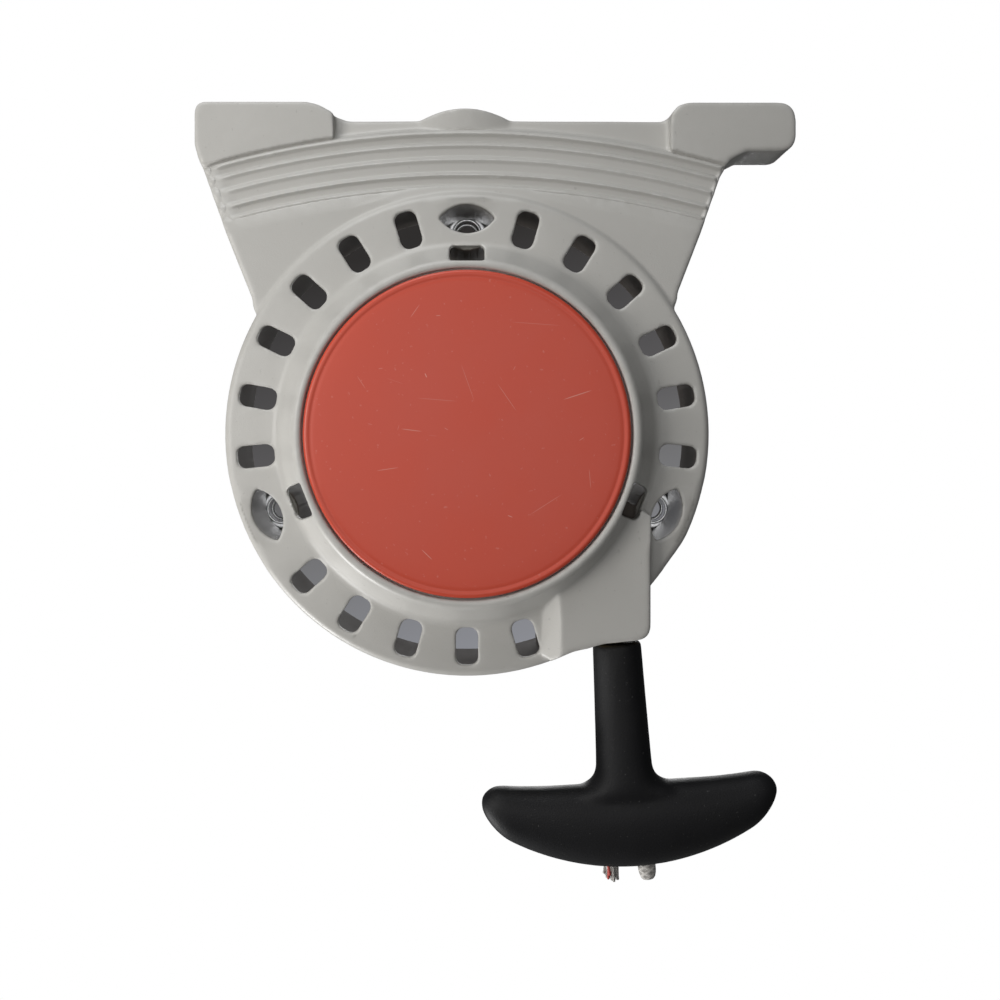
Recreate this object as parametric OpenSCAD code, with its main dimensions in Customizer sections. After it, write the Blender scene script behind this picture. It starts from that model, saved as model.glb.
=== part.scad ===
// Recoil starter for a small engine: a moulded fan housing with a snap-in front cap, a rope
// rotor on a steel axle with its rewind spring and pawls, and a T-shaped pull grip on a rope.
// Every module below is written in the face frame: x to the right, y up, z forward from the
// mounting rim. face() turns that frame upright, so the front of the part looks along -Y.

/* [Housing] */
// Outer radius of the round housing
ring_r = 80; // [79.5:0.25:80.5]
// Height of the flat slotted ring above the mounting rim
ring_z = 38; // [37.5:0.25:38.5]
// Height of the raised drum rim that holds the cap
drum_z = 50; // [49.75:0.25:50.5]
// Wall thickness of the moulding
wall_t = 3; // [2.75:0.25:3.25]

/* [Cap] */
// Radius of the pocket for the front cap
pocket_r = 53.8; // [53.5:0.1:54]
// Gap all round the front cap
cap_gap = 0.6; // [0.4:0.1:0.7]

/* [Ventilation] */
// Width of one cooling slot
slot_w = 7.3; // [6:0.1:8]
// Radial length of one cooling slot
slot_l = 12; // [10:0.5:12.5]
// Radius to the middle of the cooling slots
slot_mid_r = 70; // [69.5:0.25:70.5]
// Angle between neighbouring slots
slot_step = 16; // [15:0.5:16]

/* [Mounting] */
// Radius of the three fixing sleeves
sleeve_pitch_r = 71.9; // [71.5:0.1:72]
// Outer radius of a fixing sleeve
sleeve_r = 7.75; // [7.5:0.05:7.8]
// Radius of the screw hole in a sleeve
sleeve_hole_r = 3.1; // [2.6:0.05:3.3]
// Depth of a sleeve
sleeve_h = 7; // [6:0.5:8]

/* [Rotor] */
// Radius of the axle journal
axle_r = 6; // [5.5:0.25:6.5]
// Running clearance between the axle and the rotor
journal_gap = 0.05; // [0.03:0.01:0.08]
// Radius of the rotor flanges
flange_r = 49.5; // [49:0.25:50]
// Diameter of the starter rope
rope_d = 4.5; // [4:0.1:4.5]

/* [Grip] */
// Sideways place of the rope outlet
outlet_x = 51.2; // [50.5:0.1:51.5]
// Tilt of the pull direction away from straight down
pull_tilt = 3.4; // [3:0.1:4]
// Half of the length of the T bar
bar_half = 50.2; // [48:0.1:52]

/* [Hidden] */

$fn = 96;
eps = 0.01;
rope_r = rope_d / 2;

// Fixings sit at the top and 112 degrees to either side of it
fix_angles = [90, -22, 202];
slot_angles = concat([for (k = [1:6]) 90 - slot_step * k],
                     [for (k = [1:6]) 90 + slot_step * k],
                     [for (k = [-3:1]) 270 + slot_step * k]);
boss_r = 10.4;
boss_low_h = 18;
skirt_h = 12.4;
mouth_r = 11.3;
mouth_shift = 6.4;

// Front wall of the drum, and the chamber that the rotor turns in
floor_z = drum_z - 3;
front_in_z = floor_z - wall_t;
chamber_r = 52;
chamber_z = 16;
cap_r = pocket_r - cap_gap;
peg_r = 2;
peg_pitch_r = 40;
spigot_r = 5;

// Spring case stack, between the front wall and the rotor
case_r = 46;
case_z = front_in_z - 0.3;
case_back_z = 33.8;
cover_t = 0.8;
tab_pitch_r = 49;
tab_angles = [30, 150, 270];
spring_in_r = 12;
spring_pitch = 2.3;
spring_turns = 13;
spring_t = 0.9;

// Rotor and its back face, which carries the pawls
rotor_back_z = 18;
rotor_front_z = 31.5;
hub_r = 9.5;
hub_z = 41.5;
boss_back_z = 12.9;
groove_r = 39;
groove_back_z = 20.6;
groove_front_z = 29.9;
pawl_pivot_r = 26;
pawl_len = 22;
pawl_pin_r = 2.5;
pawl_z = 13;
pawl_t = 4.7;

// Axle end, washer and screw
axle_end_z = 11;
washer_t = 1.2;
screw_r = 2.5;

// Rope layers on the rotor, and the straight run from the outer layer to the outlet
layer_gap = 3.9;
layer1_r = groove_r + rope_r + 0.02;
layer2_r = layer1_r + layer_gap;
turn_back_z = 22.95;
turn_front_z = 27.55;
rope_z = 25.25;
outlet_y = -68.7;
outlet_far = norm([outlet_x, outlet_y]);
run_tilt = acos(layer2_r / outlet_far) - atan2(-outlet_y, outlet_x);
run_len = sqrt(outlet_far * outlet_far - layer2_r * layer2_r);
run_start = 22;

// Outlet block and its bushing
block_z = 42.6;
block_back_z = 8;
hollow_z = 12;
flank_x = 25;
flank_slope = 40;
block_tilt = 6;
bush_r = 7;
bush_bore_r = 4.7;
bush_flange_r = 9.2;
bush_flange_t = 1.5;

// Grip, along its own axis from the outlet downwards
grip_top = 2.2;
knot_pocket_u = 61;
knot_pocket_r = 7.6;
knot_pocket_h = 10;
tail_slot = [19, 6.8];
tail_v = 6;
tail_start_u = 69;
tail_end_u = 84.6;

// Head plate: ribbed arcs share a centre far below the part
arc_y = -217.5;
head_back_z = 6;
head_low_z = 35;
block_face_z = 28.8;
strip_z = 24.6;
bump_face_z = 27.6;
bump_r = 37;
bump_top_y = 111.4;

// Turns the face frame upright, with the front along -Y
module face() {
    rotate([90, 0, 0]) children();
}

// Points of an arc about (cx, cy) from angle a0 to a1 in n steps
function arc_pts(cx, cy, r, a0, a1, n) =
    [for (i = [0:n]) [cx + r * cos(a0 + (a1 - a0) * i / n), cy + r * sin(a0 + (a1 - a0) * i / n)]];

// Places children at polar radius r and angle a
module polar(r, a) {
    rotate([0, 0, a]) translate([r, 0, 0]) children();
}

// Frame of the pull line: z runs down the rope from the outlet, x to the right
module pull_line(tilt) {
    translate([outlet_x, outlet_y, rope_z]) rotate([0, 0, tilt]) rotate([90, 0, 0]) children();
}

// ---- Fan housing ----

// Section of the round housing: rim wall, flat ring, shoulder, drum rim, front wall, chamber
module round_shell() {
    rotate_extrude($fn = 180)
        polygon(concat(
            [[ring_r - wall_t, 0], [ring_r, 0]],
            arc_pts(ring_r - 2.6, ring_z - 3.6, 2.6, 0, 80, 6),
            [[63.9, ring_z], [62.9, ring_z + 0.5], [62.0, ring_z + 1.6]],
            [[57.9, drum_z - 3.2], [57.0, drum_z - 1.2], [56.1, drum_z - 0.3]],
            [[55.3, drum_z], [54.4, drum_z - 0.15], [pocket_r, drum_z - 0.7]],
            [[pocket_r, floor_z], [spigot_r, floor_z], [spigot_r, front_in_z]],
            [[chamber_r, front_in_z], [chamber_r, chamber_z]],
            [[chamber_r + wall_t, chamber_z], [chamber_r + wall_t, front_in_z + 0.6]],
            [[56.0, front_in_z + 0.3], [60.2, 36.4], [61.2, 35.2], [63, ring_z - wall_t]],
            [[ring_r - wall_t, ring_z - wall_t - 1]]));
}

// Rounded rectangle on its centre
module rounded_slot(l, w, r) {
    square([l - 2 * r, w], center = true);
    square([l, w - 2 * r], center = true);
    for (sx = [-1, 1], sy = [-1, 1])
        translate([sx * (l / 2 - r), sy * (w / 2 - r)]) circle(r = r, $fn = 32);
}

module cooling_slots() {
    for (a = slot_angles)
        polar(slot_mid_r, a)
            translate([0, 0, ring_z - 6]) linear_extrude(8) rounded_slot(slot_l, slot_w, 2.6);
}

// Lens-shaped mouth over each fixing, as two overlapping circles
module screw_pockets() {
    for (a = fix_angles)
        polar(sleeve_pitch_r, a)
            translate([0, 0, sleeve_h]) intersection() {
                translate([-mouth_shift, 0, 0]) cylinder(r = mouth_r, h = ring_z);
                translate([mouth_shift, 0, 0]) cylinder(r = mouth_r, h = ring_z);
            }
}

// Windows in the shoulder beside each fixing
module shoulder_windows() {
    for (a = fix_angles)
        polar(59.4, a)
            translate([0, 0, 34]) linear_extrude(16) {
                translate([-1, 0]) square([4.6, 11.5], center = true);
                translate([0.6, 0]) rounded_slot(5.4, 11.5, 1.8);
            }
}

// Space of one fixing boss: whole near the mounting face, inside the rim wall further up,
// and ending against the sloping back of the ring
module boss_space(a) {
    polar(sleeve_pitch_r, a) cylinder(r = boss_r, h = boss_low_h);
    intersection() {
        rotate_extrude($fn = 180)
            polygon([[40, 1], [ring_r - wall_t, 1], [ring_r - wall_t, ring_z - wall_t - 1],
                     [63, ring_z - wall_t], [40, ring_z - wall_t]]);
        polar(sleeve_pitch_r, a) cylinder(r = boss_r, h = ring_z);
    }
}

// Outline of the head plate, counterclockwise, moved inwards by t
function head_outline(t) = concat(
    [[68 - t, 40], [86.2 - t, 87.2 + t * 0.4], [90.0 - t * 0.4, 93.6 + t], [95.5, 96.4 + t]],
    [[107.3 - t * 0.6, 96.4 + t]],
    arc_pts(107.6 - t, 101.2 + t * 0.2, 4.6 - t * 0.2, -70, 0, 5),
    arc_pts(106.6 - t, 107.6 - t, 5.6, 0, 90, 6),
    [[75.8 + t, 113.2 - t], [72.2 + t, 112.2 - t], [69.6 + t, 109.2 - t], [67.4 + t, 107.9 - t]]);

function head_outline_left(t) = concat(
    [[-40.8 - t, 107.9 - t], [-45.5 - t, 109.6 - t], [-50.5 - t, 112.4 - t], [-54.5 - t, 113.4 - t]],
    arc_pts(-89.8 + t, 110.2 - t, 3.2, 90, 180, 5),
    [[-93 + t, 98.6], [-91.8 + t, 94.2], [-70 + t, 40]]);

module head_shape(t) {
    polygon(concat(head_outline(t), head_outline_left(t)));
    intersection() {
        translate([-0.7, bump_top_y - bump_r]) circle(r = bump_r - t, $fn = 180);
        translate([-25, 95]) square([50, 20]);
    }
}

// Front surface height over the arc radius: stepped ribs, then a recessed strip at the top.
// Each pair is the distance above the round centre and the height above the sloping base.
rib_steps = [[83.2, 0.3], [84.0, -0.7], [86.6, -0.5], [87.6, 0.6], [89.6, -0.6], [93.6, 0.5],
             [96.5, -0.7], [98.2, 0.6], [100.9, -0.7], [102.4, 0.7], [103.9, -0.6]];
function slope_z(y) = head_low_z - (y - 78) * 0.29;
function rib_profile(t) = concat(
    [[30 - arc_y, -1], [130 - arc_y, -1], [130 - arc_y, strip_z - 3.4 - t], [105.4 - arc_y, strip_z - t]],
    [for (i = [len(rib_steps) - 1:-1:0])
        [rib_steps[i][0] - arc_y, slope_z(rib_steps[i][0]) + rib_steps[i][1] - t]],
    [[78 - arc_y, head_low_z - t], [30 - arc_y, head_low_z - t]]);

module rib_solid(t) {
    translate([0, arc_y, 0]) rotate([0, 0, 68])
        rotate_extrude(angle = 44, $fn = 720) polygon(rib_profile(t));
}

// Ring sector that lies outside the outermost rib
module outside_ribs(h) {
    translate([0, arc_y, 0]) difference() {
        translate([-130, 300, 0]) cube([260, 40, h]);
        translate([0, 0, -1]) cylinder(r = 104.4 - arc_y, h = h + 2, $fn = 720);
    }
}

// Solid of the head plate moved inwards by t, with its two end blocks and the centre bump
module head_solid(t) {
    intersection() {
        translate([0, 0, -1]) linear_extrude(60) head_shape(t);
        union() {
            rib_solid(t);
            intersection() {
                outside_ribs(block_face_z - t);
                union() {
                    translate([-120, 80, 0]) cube([74.5 - t, 60, 60]);
                    translate([69.5 + t, 80, 0]) cube([60, 60, 60]);
                    translate([-0.7, 60, bump_face_z - 40]) rotate([-90, 0, 0])
                        cylinder(r = 40 - t, h = 60, $fn = 180);
                }
            }
        }
    }
}

module head_shell() {
    difference() {
        intersection() {
            head_solid(0);
            translate([-150, 0, head_back_z]) cube([300, 200, 60]);
        }
        translate([0, 0, -eps]) difference() {
            head_solid(wall_t);
            cylinder(r = ring_r - 1, h = 60);
        }
    }
    // Stiffening webs inside the plate
    for (x = [-58, -29, 29, 58])
        intersection() {
            translate([x - 1, 70, head_back_z + 8]) cube([2, 50, 40]);
            head_solid(0.5);
        }
    intersection() {
        translate([-90, 88, head_back_z + 10]) cube([176, 2, 40]);
        head_solid(0.5);
    }
}

// The plate and the round housing are one moulding, kept as two solids that meet at the rim wall
module head_plate() {
    color([0.70, 0.69, 0.66]) face() difference() {
        head_shell();
        translate([0, 0, -1]) cylinder(r = ring_r, h = 80, $fn = 180);
    }
}

// Block at the lower right that guides the rope out
block_outline = concat(
    [[25, -46], [50, -20], [60.6, -27], [60.6, -63.75]],
    arc_pts(56.2, -63.75, 4.4, 0, -84, 5),
    [[38.5, -70.0], [34.5, -70.9], [31.0, -72.4], [27.6, -74.4], [24, -72]]);

module outlet_block() {
    intersection() {
        translate([0, 0, block_back_z]) linear_extrude(block_z - block_back_z) polygon(block_outline);
        difference() {
            cylinder(r = 100, h = block_z);
            translate([0, 0, -1]) cylinder(r = chamber_r + 1, h = 80);
        }
        // The left flank slopes down to the ring
        translate([flank_x, 0, ring_z]) rotate([0, -flank_slope, 0])
            translate([-60, -100, -90]) cube([160, 200, 90]);
    }
}

// Hollow of the block, above the rim band that closes the ring behind it
module outlet_hollow() {
    difference() {
        translate([0, 0, hollow_z]) linear_extrude(block_z - wall_t - hollow_z)
            polygon([[41, -45], [57.6, -35], [57.6, -62], [55, -63.8], [41.5, -65.2]]);
        translate([0, 0, -2]) cylinder(r = chamber_r + wall_t, h = 80);
    }
}

// Whole round moulding with its outlet block
module round_moulding() {
    difference() {
        union() {
            round_shell();
            difference() {
                outlet_block();
                polar(sleeve_pitch_r, fix_angles[1]) cylinder(r = boss_r, h = ring_z - wall_t);
            }
            // Posts for the screws of the spring case
            for (a = tab_angles)
                polar(tab_pitch_r, a) translate([0, 0, case_back_z]) cylinder(r = 2.6, h = 11);
        }
        cooling_slots();
        screw_pockets();
        shoulder_windows();
        for (a = fix_angles)
            polar(sleeve_pitch_r, a) translate([0, 0, -1]) cylinder(r = boss_r, h = boss_low_h + 1);
        outlet_hollow();
        // Gap in the chamber wall for the rope, and the seat of the bushing
        pull_line(run_tilt) translate([-5.5, -5.5, -54]) cube([11, 11, 46]);
        pull_line(block_tilt) translate([0, 0, -12]) cylinder(r = bush_r, h = 24);
        for (a = tab_angles)
            polar(peg_pitch_r, a) translate([0, 0, front_in_z - 1]) cylinder(r = peg_r, h = 5);
        for (a = tab_angles)
            polar(tab_pitch_r, a) translate([0, 0, case_back_z - 1]) cylinder(r = 1.2, h = 9);
    }
}

module fan_housing() {
    color([0.70, 0.69, 0.66]) face() intersection() {
        round_moulding();
        translate([-120, -120, skirt_h]) cube([240, 240, 60]);
    }
}

// Lowest part of the rim wall, the same moulding again
module rim_skirt() {
    color([0.70, 0.69, 0.66]) face() intersection() {
        round_moulding();
        translate([-120, -120, -1]) cube([240, 240, skirt_h + 1]);
    }
}

// Boss of one fixing, the same moulding again, from the mounting face up to the ring
module fixing_boss(a) {
    color([0.70, 0.69, 0.66]) face() difference() {
        boss_space(a);
        screw_pockets();
        polar(sleeve_pitch_r, a) translate([0, 0, -1]) cylinder(r = sleeve_r, h = sleeve_h + 1 + eps);
    }
}

module fixing_boss_top() {
    fixing_boss(fix_angles[0]);
}

module fixing_boss_right() {
    fixing_boss(fix_angles[1]);
}

module fixing_boss_left() {
    fixing_boss(fix_angles[2]);
}

// ---- Cap ----

// Snap-in disc with a rounded rim, a faint crown and three pegs behind
module front_cap() {
    color([0.74, 0.30, 0.23]) face() {
        rotate_extrude($fn = 180)
            polygon([[0, floor_z], [cap_r, floor_z], [cap_r, drum_z - 0.5], [cap_r - 0.35, drum_z + 0.1],
                     [cap_r - 1.1, drum_z + 0.35], [cap_r - 2.4, drum_z + 0.3], [30, drum_z + 0.45],
                     [0, drum_z + 0.5]]);
        for (a = tab_angles)
            polar(peg_pitch_r, a) translate([0, 0, front_in_z + 0.1]) cylinder(r = peg_r, h = 3);
    }
}

// ---- Fixing sleeves ----

module mount_sleeve(a) {
    color([0.78, 0.79, 0.80]) face() polar(sleeve_pitch_r, a) rotate_extrude()
        polygon([[sleeve_hole_r, 0], [sleeve_r, 0], [sleeve_r, sleeve_h - 0.6],
                 [sleeve_r - 0.6, sleeve_h], [5.4, sleeve_h], [5.1, sleeve_h - 0.3],
                 [5.1, 3.4], [sleeve_hole_r, 3.4]]);
}

module mount_sleeve_top() {
    mount_sleeve(fix_angles[0]);
}

module mount_sleeve_right() {
    mount_sleeve(fix_angles[1]);
}

module mount_sleeve_left() {
    mount_sleeve(fix_angles[2]);
}

// ---- Axle and rewind spring ----

// Pressed into the front wall, with a threaded hole in its free end
module rotor_axle() {
    color([0.70, 0.71, 0.73]) face() difference() {
        rotate_extrude()
            polygon([[0, axle_end_z], [axle_r - 0.5, axle_end_z], [axle_r, axle_end_z + 0.5],
                     [axle_r, 42.6], [9, 42.6], [9, front_in_z], [spigot_r, front_in_z],
                     [spigot_r, floor_z], [0, floor_z]]);
        translate([0, 0, axle_end_z - 1]) cylinder(r = screw_r, h = 20);
    }
}

module spring_case() {
    color([0.55, 0.56, 0.58]) face() rotate_extrude($fn = 144)
        polygon([[10, case_z - 1], [case_r - 1, case_z - 1], [case_r - 1, case_back_z],
                 [case_r, case_back_z], [case_r, case_z], [10, case_z]]);
}

// Flat strip wound as half circles about two centres, so each turn steps out by the pitch
module rewind_spring() {
    color([0.36, 0.37, 0.42]) face() translate([0, 0, 35.2]) {
        for (i = [0:2 * spring_turns - 1])
            translate([(i % 2) * spring_pitch / 2, 0, 0]) rotate([0, 0, (i % 2) * 180])
                rotate_extrude(angle = 180)
                    translate([spring_in_r + i * spring_pitch / 2, 0]) square([spring_t, 6.4]);
        translate([hub_r + 0.4, -1.1, 0]) cube([spring_in_r - hub_r + 0.4, 1.2, 6.4]);
    }
}

module spring_case_cover() {
    color([0.62, 0.63, 0.65]) face() translate([0, 0, case_back_z - cover_t]) difference() {
        union() {
            cylinder(r = case_r, h = cover_t, $fn = 144);
            for (a = tab_angles) {
                polar(tab_pitch_r, a) cylinder(r = 2.7, h = cover_t);
                polar(tab_pitch_r - 5, a) translate([0, -2.2, 0]) cube([5, 4.4, cover_t]);
            }
        }
        translate([0, 0, -1]) cylinder(r = 11.5, h = 4);
        for (a = tab_angles)
            polar(tab_pitch_r, a) translate([0, 0, -1]) cylinder(r = 1.4, h = 4);
        for (a = [0:60:300])
            polar(28, a) translate([0, 0, -1]) cylinder(r = 4, h = 4);
    }
}

module case_screws() {
    color([0.45, 0.46, 0.48]) face() for (a = tab_angles)
        polar(tab_pitch_r, a) {
            translate([0, 0, case_back_z - cover_t - 0.9]) cylinder(r1 = 1.9, r2 = 2.4, h = 0.9);
            translate([0, 0, case_back_z - cover_t - eps]) cylinder(r = 1.15, h = 8);
        }
}

module axle_washer() {
    color([0.74, 0.75, 0.76]) face() translate([0, 0, axle_end_z - washer_t]) difference() {
        cylinder(r = 10, h = washer_t);
        translate([0, 0, -1]) cylinder(r = screw_r + 0.2, h = 4);
    }
}

// Hexagon-head screw with a round flange
module axle_screw() {
    color([0.72, 0.70, 0.62]) face() translate([0, 0, axle_end_z - washer_t]) {
        translate([0, 0, -2.6]) cylinder(r = 4.6, h = 2.2, $fn = 6);
        translate([0, 0, -0.6]) cylinder(r = 5.6, h = 0.6);
        translate([0, 0, -0.5]) cylinder(r = screw_r - 0.05, h = 16);
    }
}

// ---- Rope outlet ----

// Flared metal bushing with a flange under the outlet block
module rope_bushing() {
    color([0.80, 0.62, 0.30]) face() pull_line(block_tilt) rotate_extrude()
        polygon([[bush_bore_r, -4.6], [bush_bore_r + 1.2, -5.6], [bush_r, -5.6], [bush_r, 0],
                 [bush_flange_r, 0], [bush_flange_r, bush_flange_t - 0.4],
                 [bush_flange_r - 0.5, bush_flange_t], [bush_bore_r + 1.8, bush_flange_t],
                 [bush_bore_r + 0.5, bush_flange_t - 0.5], [bush_bore_r, -0.6]]);
}

// Straight stretch of rope between the rotor and the outlet
module rope_run() {
    color([0.86, 0.85, 0.82]) face() pull_line(run_tilt) translate([0, 0, run_start - run_len])
        cylinder(r = rope_r, h = run_len - run_start - 3, $fn = 32);
}

// ---- Rotor ----

module rotor_section() {
    polygon([[axle_r + journal_gap, boss_back_z], [14, boss_back_z], [14, rotor_back_z],
             [flange_r - 0.6, rotor_back_z], [flange_r, rotor_back_z + 0.6],
             [flange_r, groove_back_z - 0.4], [groove_r, groove_back_z], [groove_r, groove_front_z],
             [flange_r, groove_front_z + 0.3], [flange_r, rotor_front_z], [hub_r, rotor_front_z],
             [hub_r, hub_z], [axle_r + journal_gap, hub_z]]);
}

module rope_rotor() {
    color([0.16, 0.17, 0.18]) face() difference() {
        rotate_extrude($fn = 144) rotor_section();
        // Weight-saving pockets in the back face, between the pawl pivots
        for (a = [30, 60, 90, 120, 150, 210, 240, 270, 300, 330])
            polar(26, a) translate([0, 0, rotor_back_z - 1]) cylinder(r = 5.4, h = 9);
        // Seats of the pawl pins and their springs
        for (a = [0, 180])
            polar(pawl_pivot_r, a) {
                translate([0, 0, rotor_back_z - 1]) cylinder(r = 5.2, h = 3);
                translate([0, 0, rotor_back_z - 1]) cylinder(r = pawl_pin_r, h = 11);
            }
        // Pocket for the knot at the start of the rope, and the hole that leads to it
        polar(32, 105) translate([0, 0, 26]) cylinder(r = 4.6, h = 8);
        rotate([0, 0, 105]) translate([32, 0, 28]) rotate([0, 90, 0]) cylinder(r = 1.8, h = 10);
        // Slot where the inner end of the spring hooks into the hub
        translate([hub_r - 1.6, -1.6, 34]) cube([4, 1.2, 10]);
    }
}

// Rope turns on the rotor, as rings of two layers
module rope_winding() {
    color([0.86, 0.85, 0.82]) face() for (r = [layer1_r, layer2_r], z = [turn_back_z, turn_front_z])
        translate([0, 0, z]) rotate_extrude($fn = 96) translate([r, 0]) circle(r = rope_r, $fn = 24);
}

module rotor_rope_knot() {
    color([0.86, 0.85, 0.82]) face() polar(32, 105) translate([0, 0, 28.6]) sphere(r = 2.6, $fn = 32);
}

// Guide disc over the pawls, turned by friction, with two cam fingers
module ratchet_guide() {
    color([0.60, 0.61, 0.62]) face() translate([0, 0, axle_end_z + 0.3]) difference() {
        union() {
            cylinder(r = 18, h = 1.3);
            for (a = [0, 180])
                rotate([0, 0, a]) translate([0, -4, 0]) cube([24, 8, 1.3]);
        }
        translate([0, 0, -1]) cylinder(r = axle_r + 0.2, h = 4);
        for (a = [45:90:315])
            polar(12.5, a) translate([0, 0, -1]) cylinder(r = 2, h = 4);
    }
}

// Wire ring round the rotor boss, with one bent end
module friction_spring() {
    color([0.75, 0.76, 0.78]) face() translate([0, 0, 15.4]) {
        rotate([0, 0, 20]) rotate_extrude(angle = 320) translate([14.8, 0]) circle(r = 0.7, $fn = 16);
        rotate([0, 0, 20]) translate([14.8, 0, 0]) rotate([0, 90, 0]) cylinder(r = 0.7, h = 4, $fn = 16);
    }
}

// ---- Pawls ----

module pawl_pin(a) {
    color([0.72, 0.73, 0.75]) face() polar(pawl_pivot_r, a) {
        translate([0, 0, boss_back_z - 0.3]) cylinder(r = pawl_pin_r, h = 15);
    }
}

module pawl_pin_a() {
    pawl_pin(0);
}

module pawl_pin_b() {
    pawl_pin(180);
}

// Torsion coils under the pawls, round their pins
module pawl_springs() {
    color([0.55, 0.56, 0.60]) face() for (a = [0, 180])
        polar(pawl_pivot_r, a) for (z = [18.9, 19.6])
            translate([0, 0, z - 0.2]) rotate_extrude() translate([3.8, 0]) circle(r = 0.4, $fn = 16);
}

// Pawl with its tip ahead of the pivot in the direction of pull
module pawl(a) {
    color([0.58, 0.57, 0.55]) face() polar(pawl_pivot_r, a) translate([0, 0, pawl_z]) difference() {
        union() {
            cylinder(r = 5, h = pawl_t);
            rotate([0, 0, -98]) linear_extrude(pawl_t)
                polygon([[0, -4.6], [8, -4.2], [16, -3.2], [pawl_len, -2.6], [pawl_len + 1.6, 0.4],
                         [pawl_len + 0.4, 3.4], [14, 3.9], [0, 5]]);
        }
        translate([0, 0, -1]) cylinder(r = pawl_pin_r + 0.06, h = pawl_t + 2);
    }
}

module pawl_a() {
    pawl(0);
}

module pawl_b() {
    pawl(180);
}

// ---- Pull grip ----

// Ball of radius r at distance v sideways and u down the grip
module grip_ball(v, u, r) {
    translate([v, 0, u]) sphere(r = r, $fn = 32);
}

module grip_bar() {
    for (s = [-1, 1])
        hull() {
            grip_ball(0, 69.2, 10);
            grip_ball(0, 62, 10);
            grip_ball(s * 20, 67.8, 9.2);
            grip_ball(s * 20, 60.4, 9.2);
            grip_ball(s * 36, 62.0, 8.0);
            grip_ball(s * 38, 58.8, 8.0);
            grip_ball(s * (bar_half - 7.2), 56.6, 7.2);
        }
}

module pull_grip() {
    color([0.10, 0.10, 0.11]) face() pull_line(pull_tilt) difference() {
        union() {
            rotate_extrude()
                polygon([[0, grip_top], [6.2, grip_top], [7.6, grip_top + 0.7], [8.2, grip_top + 2.4],
                         [9.5, 38], [10.4, 45], [12.5, 50], [12.5, 62], [0, 62]]);
            grip_bar();
        }
        translate([0, 0, grip_top - 1]) cylinder(r = rope_r + 0.25, h = 80);
        translate([0, 0, knot_pocket_u]) cylinder(r = knot_pocket_r, h = knot_pocket_h);
        // Slot that the knot goes in by, where the two tails hang out
        translate([-tail_slot[0] / 2, -tail_slot[1] / 2, knot_pocket_u + 2])
            cube([tail_slot[0], tail_slot[1], 30]);
    }
}

module knot_washer() {
    color([0.72, 0.73, 0.75]) face() pull_line(pull_tilt) translate([0, 0, knot_pocket_u]) difference() {
        cylinder(r = 7, h = 1.2);
        translate([0, 0, -1]) cylinder(r = rope_r + 0.1, h = 4);
    }
}

// Rope inside the stem of the grip, from the outlet to the knot
module rope_lead() {
    color([0.86, 0.85, 0.82]) face() pull_line(pull_tilt)
        translate([0, 0, -2.4]) cylinder(r = rope_r, h = knot_pocket_u + 6.4, $fn = 32);
}

module grip_knot() {
    color([0.86, 0.85, 0.82]) face() pull_line(pull_tilt) translate([0, 0, knot_pocket_u + 6.4]) {
        rotate([0, 18, 0]) rotate_extrude() translate([3.3, 0]) circle(r = rope_r, $fn = 24);
        sphere(r = 3.6, $fn = 32);
    }
}

module rope_tail_cut_end() {
    color([0.86, 0.85, 0.82]) face() pull_line(pull_tilt) translate([-tail_v, 0, tail_start_u])
        cylinder(r = 3, h = tail_end_u - tail_start_u, $fn = 32);
}

module rope_tail_loop() {
    color([0.86, 0.85, 0.82]) face() pull_line(pull_tilt) {
        translate([tail_v, 0, tail_start_u])
            cylinder(r = 3.1, h = tail_end_u - tail_start_u - 3.1, $fn = 32);
        translate([tail_v, 0, tail_end_u - 3.1]) sphere(r = 3.1, $fn = 32);
    }
}

fan_housing();
rim_skirt();
head_plate();
fixing_boss_top();
fixing_boss_left();
fixing_boss_right();
front_cap();
mount_sleeve_top();
mount_sleeve_left();
mount_sleeve_right();
rotor_axle();
spring_case();
rewind_spring();
spring_case_cover();
case_screws();
axle_washer();
axle_screw();
rope_bushing();
rope_run();
rope_rotor();
rope_winding();
rotor_rope_knot();
ratchet_guide();
friction_spring();
pawl_pin_a();
pawl_pin_b();
pawl_springs();
pawl_a();
pawl_b();
pull_grip();
knot_washer();
rope_lead();
grip_knot();
rope_tail_cut_end();
rope_tail_loop();
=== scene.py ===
# %% [markdown]
# # A recoil starter for a small engine
#
# The real object is the cover that bolts over an engine's flywheel: a grey plastic housing with a
# ring of cooling slots, a red disc snapped into its drum, and a black T grip on a rope. Behind the
# drum sit the rope rotor, its rewind spring and two pawls.
#
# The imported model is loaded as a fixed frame. Parts that are already right keep their mesh and get
# a better finish. Parts whose look depends on soft edges or fibres are modelled again on top.

# %% Load the frame
import math
import random

import bpy
import numpy as np
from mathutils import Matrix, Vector


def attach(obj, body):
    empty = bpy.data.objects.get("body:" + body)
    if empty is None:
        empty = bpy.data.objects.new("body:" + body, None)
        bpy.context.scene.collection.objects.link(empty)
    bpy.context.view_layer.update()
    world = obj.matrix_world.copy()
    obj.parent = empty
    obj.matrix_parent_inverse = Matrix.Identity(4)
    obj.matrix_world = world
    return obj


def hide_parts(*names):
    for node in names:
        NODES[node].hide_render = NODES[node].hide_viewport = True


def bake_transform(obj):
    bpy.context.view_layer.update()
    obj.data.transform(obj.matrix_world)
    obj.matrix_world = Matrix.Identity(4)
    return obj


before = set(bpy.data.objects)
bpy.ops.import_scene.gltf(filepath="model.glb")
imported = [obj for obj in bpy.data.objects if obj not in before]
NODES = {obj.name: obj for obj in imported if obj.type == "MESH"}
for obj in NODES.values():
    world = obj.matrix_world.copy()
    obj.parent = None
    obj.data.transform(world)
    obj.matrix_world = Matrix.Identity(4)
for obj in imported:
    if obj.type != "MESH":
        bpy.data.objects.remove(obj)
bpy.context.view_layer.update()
MM = 0.001

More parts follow.
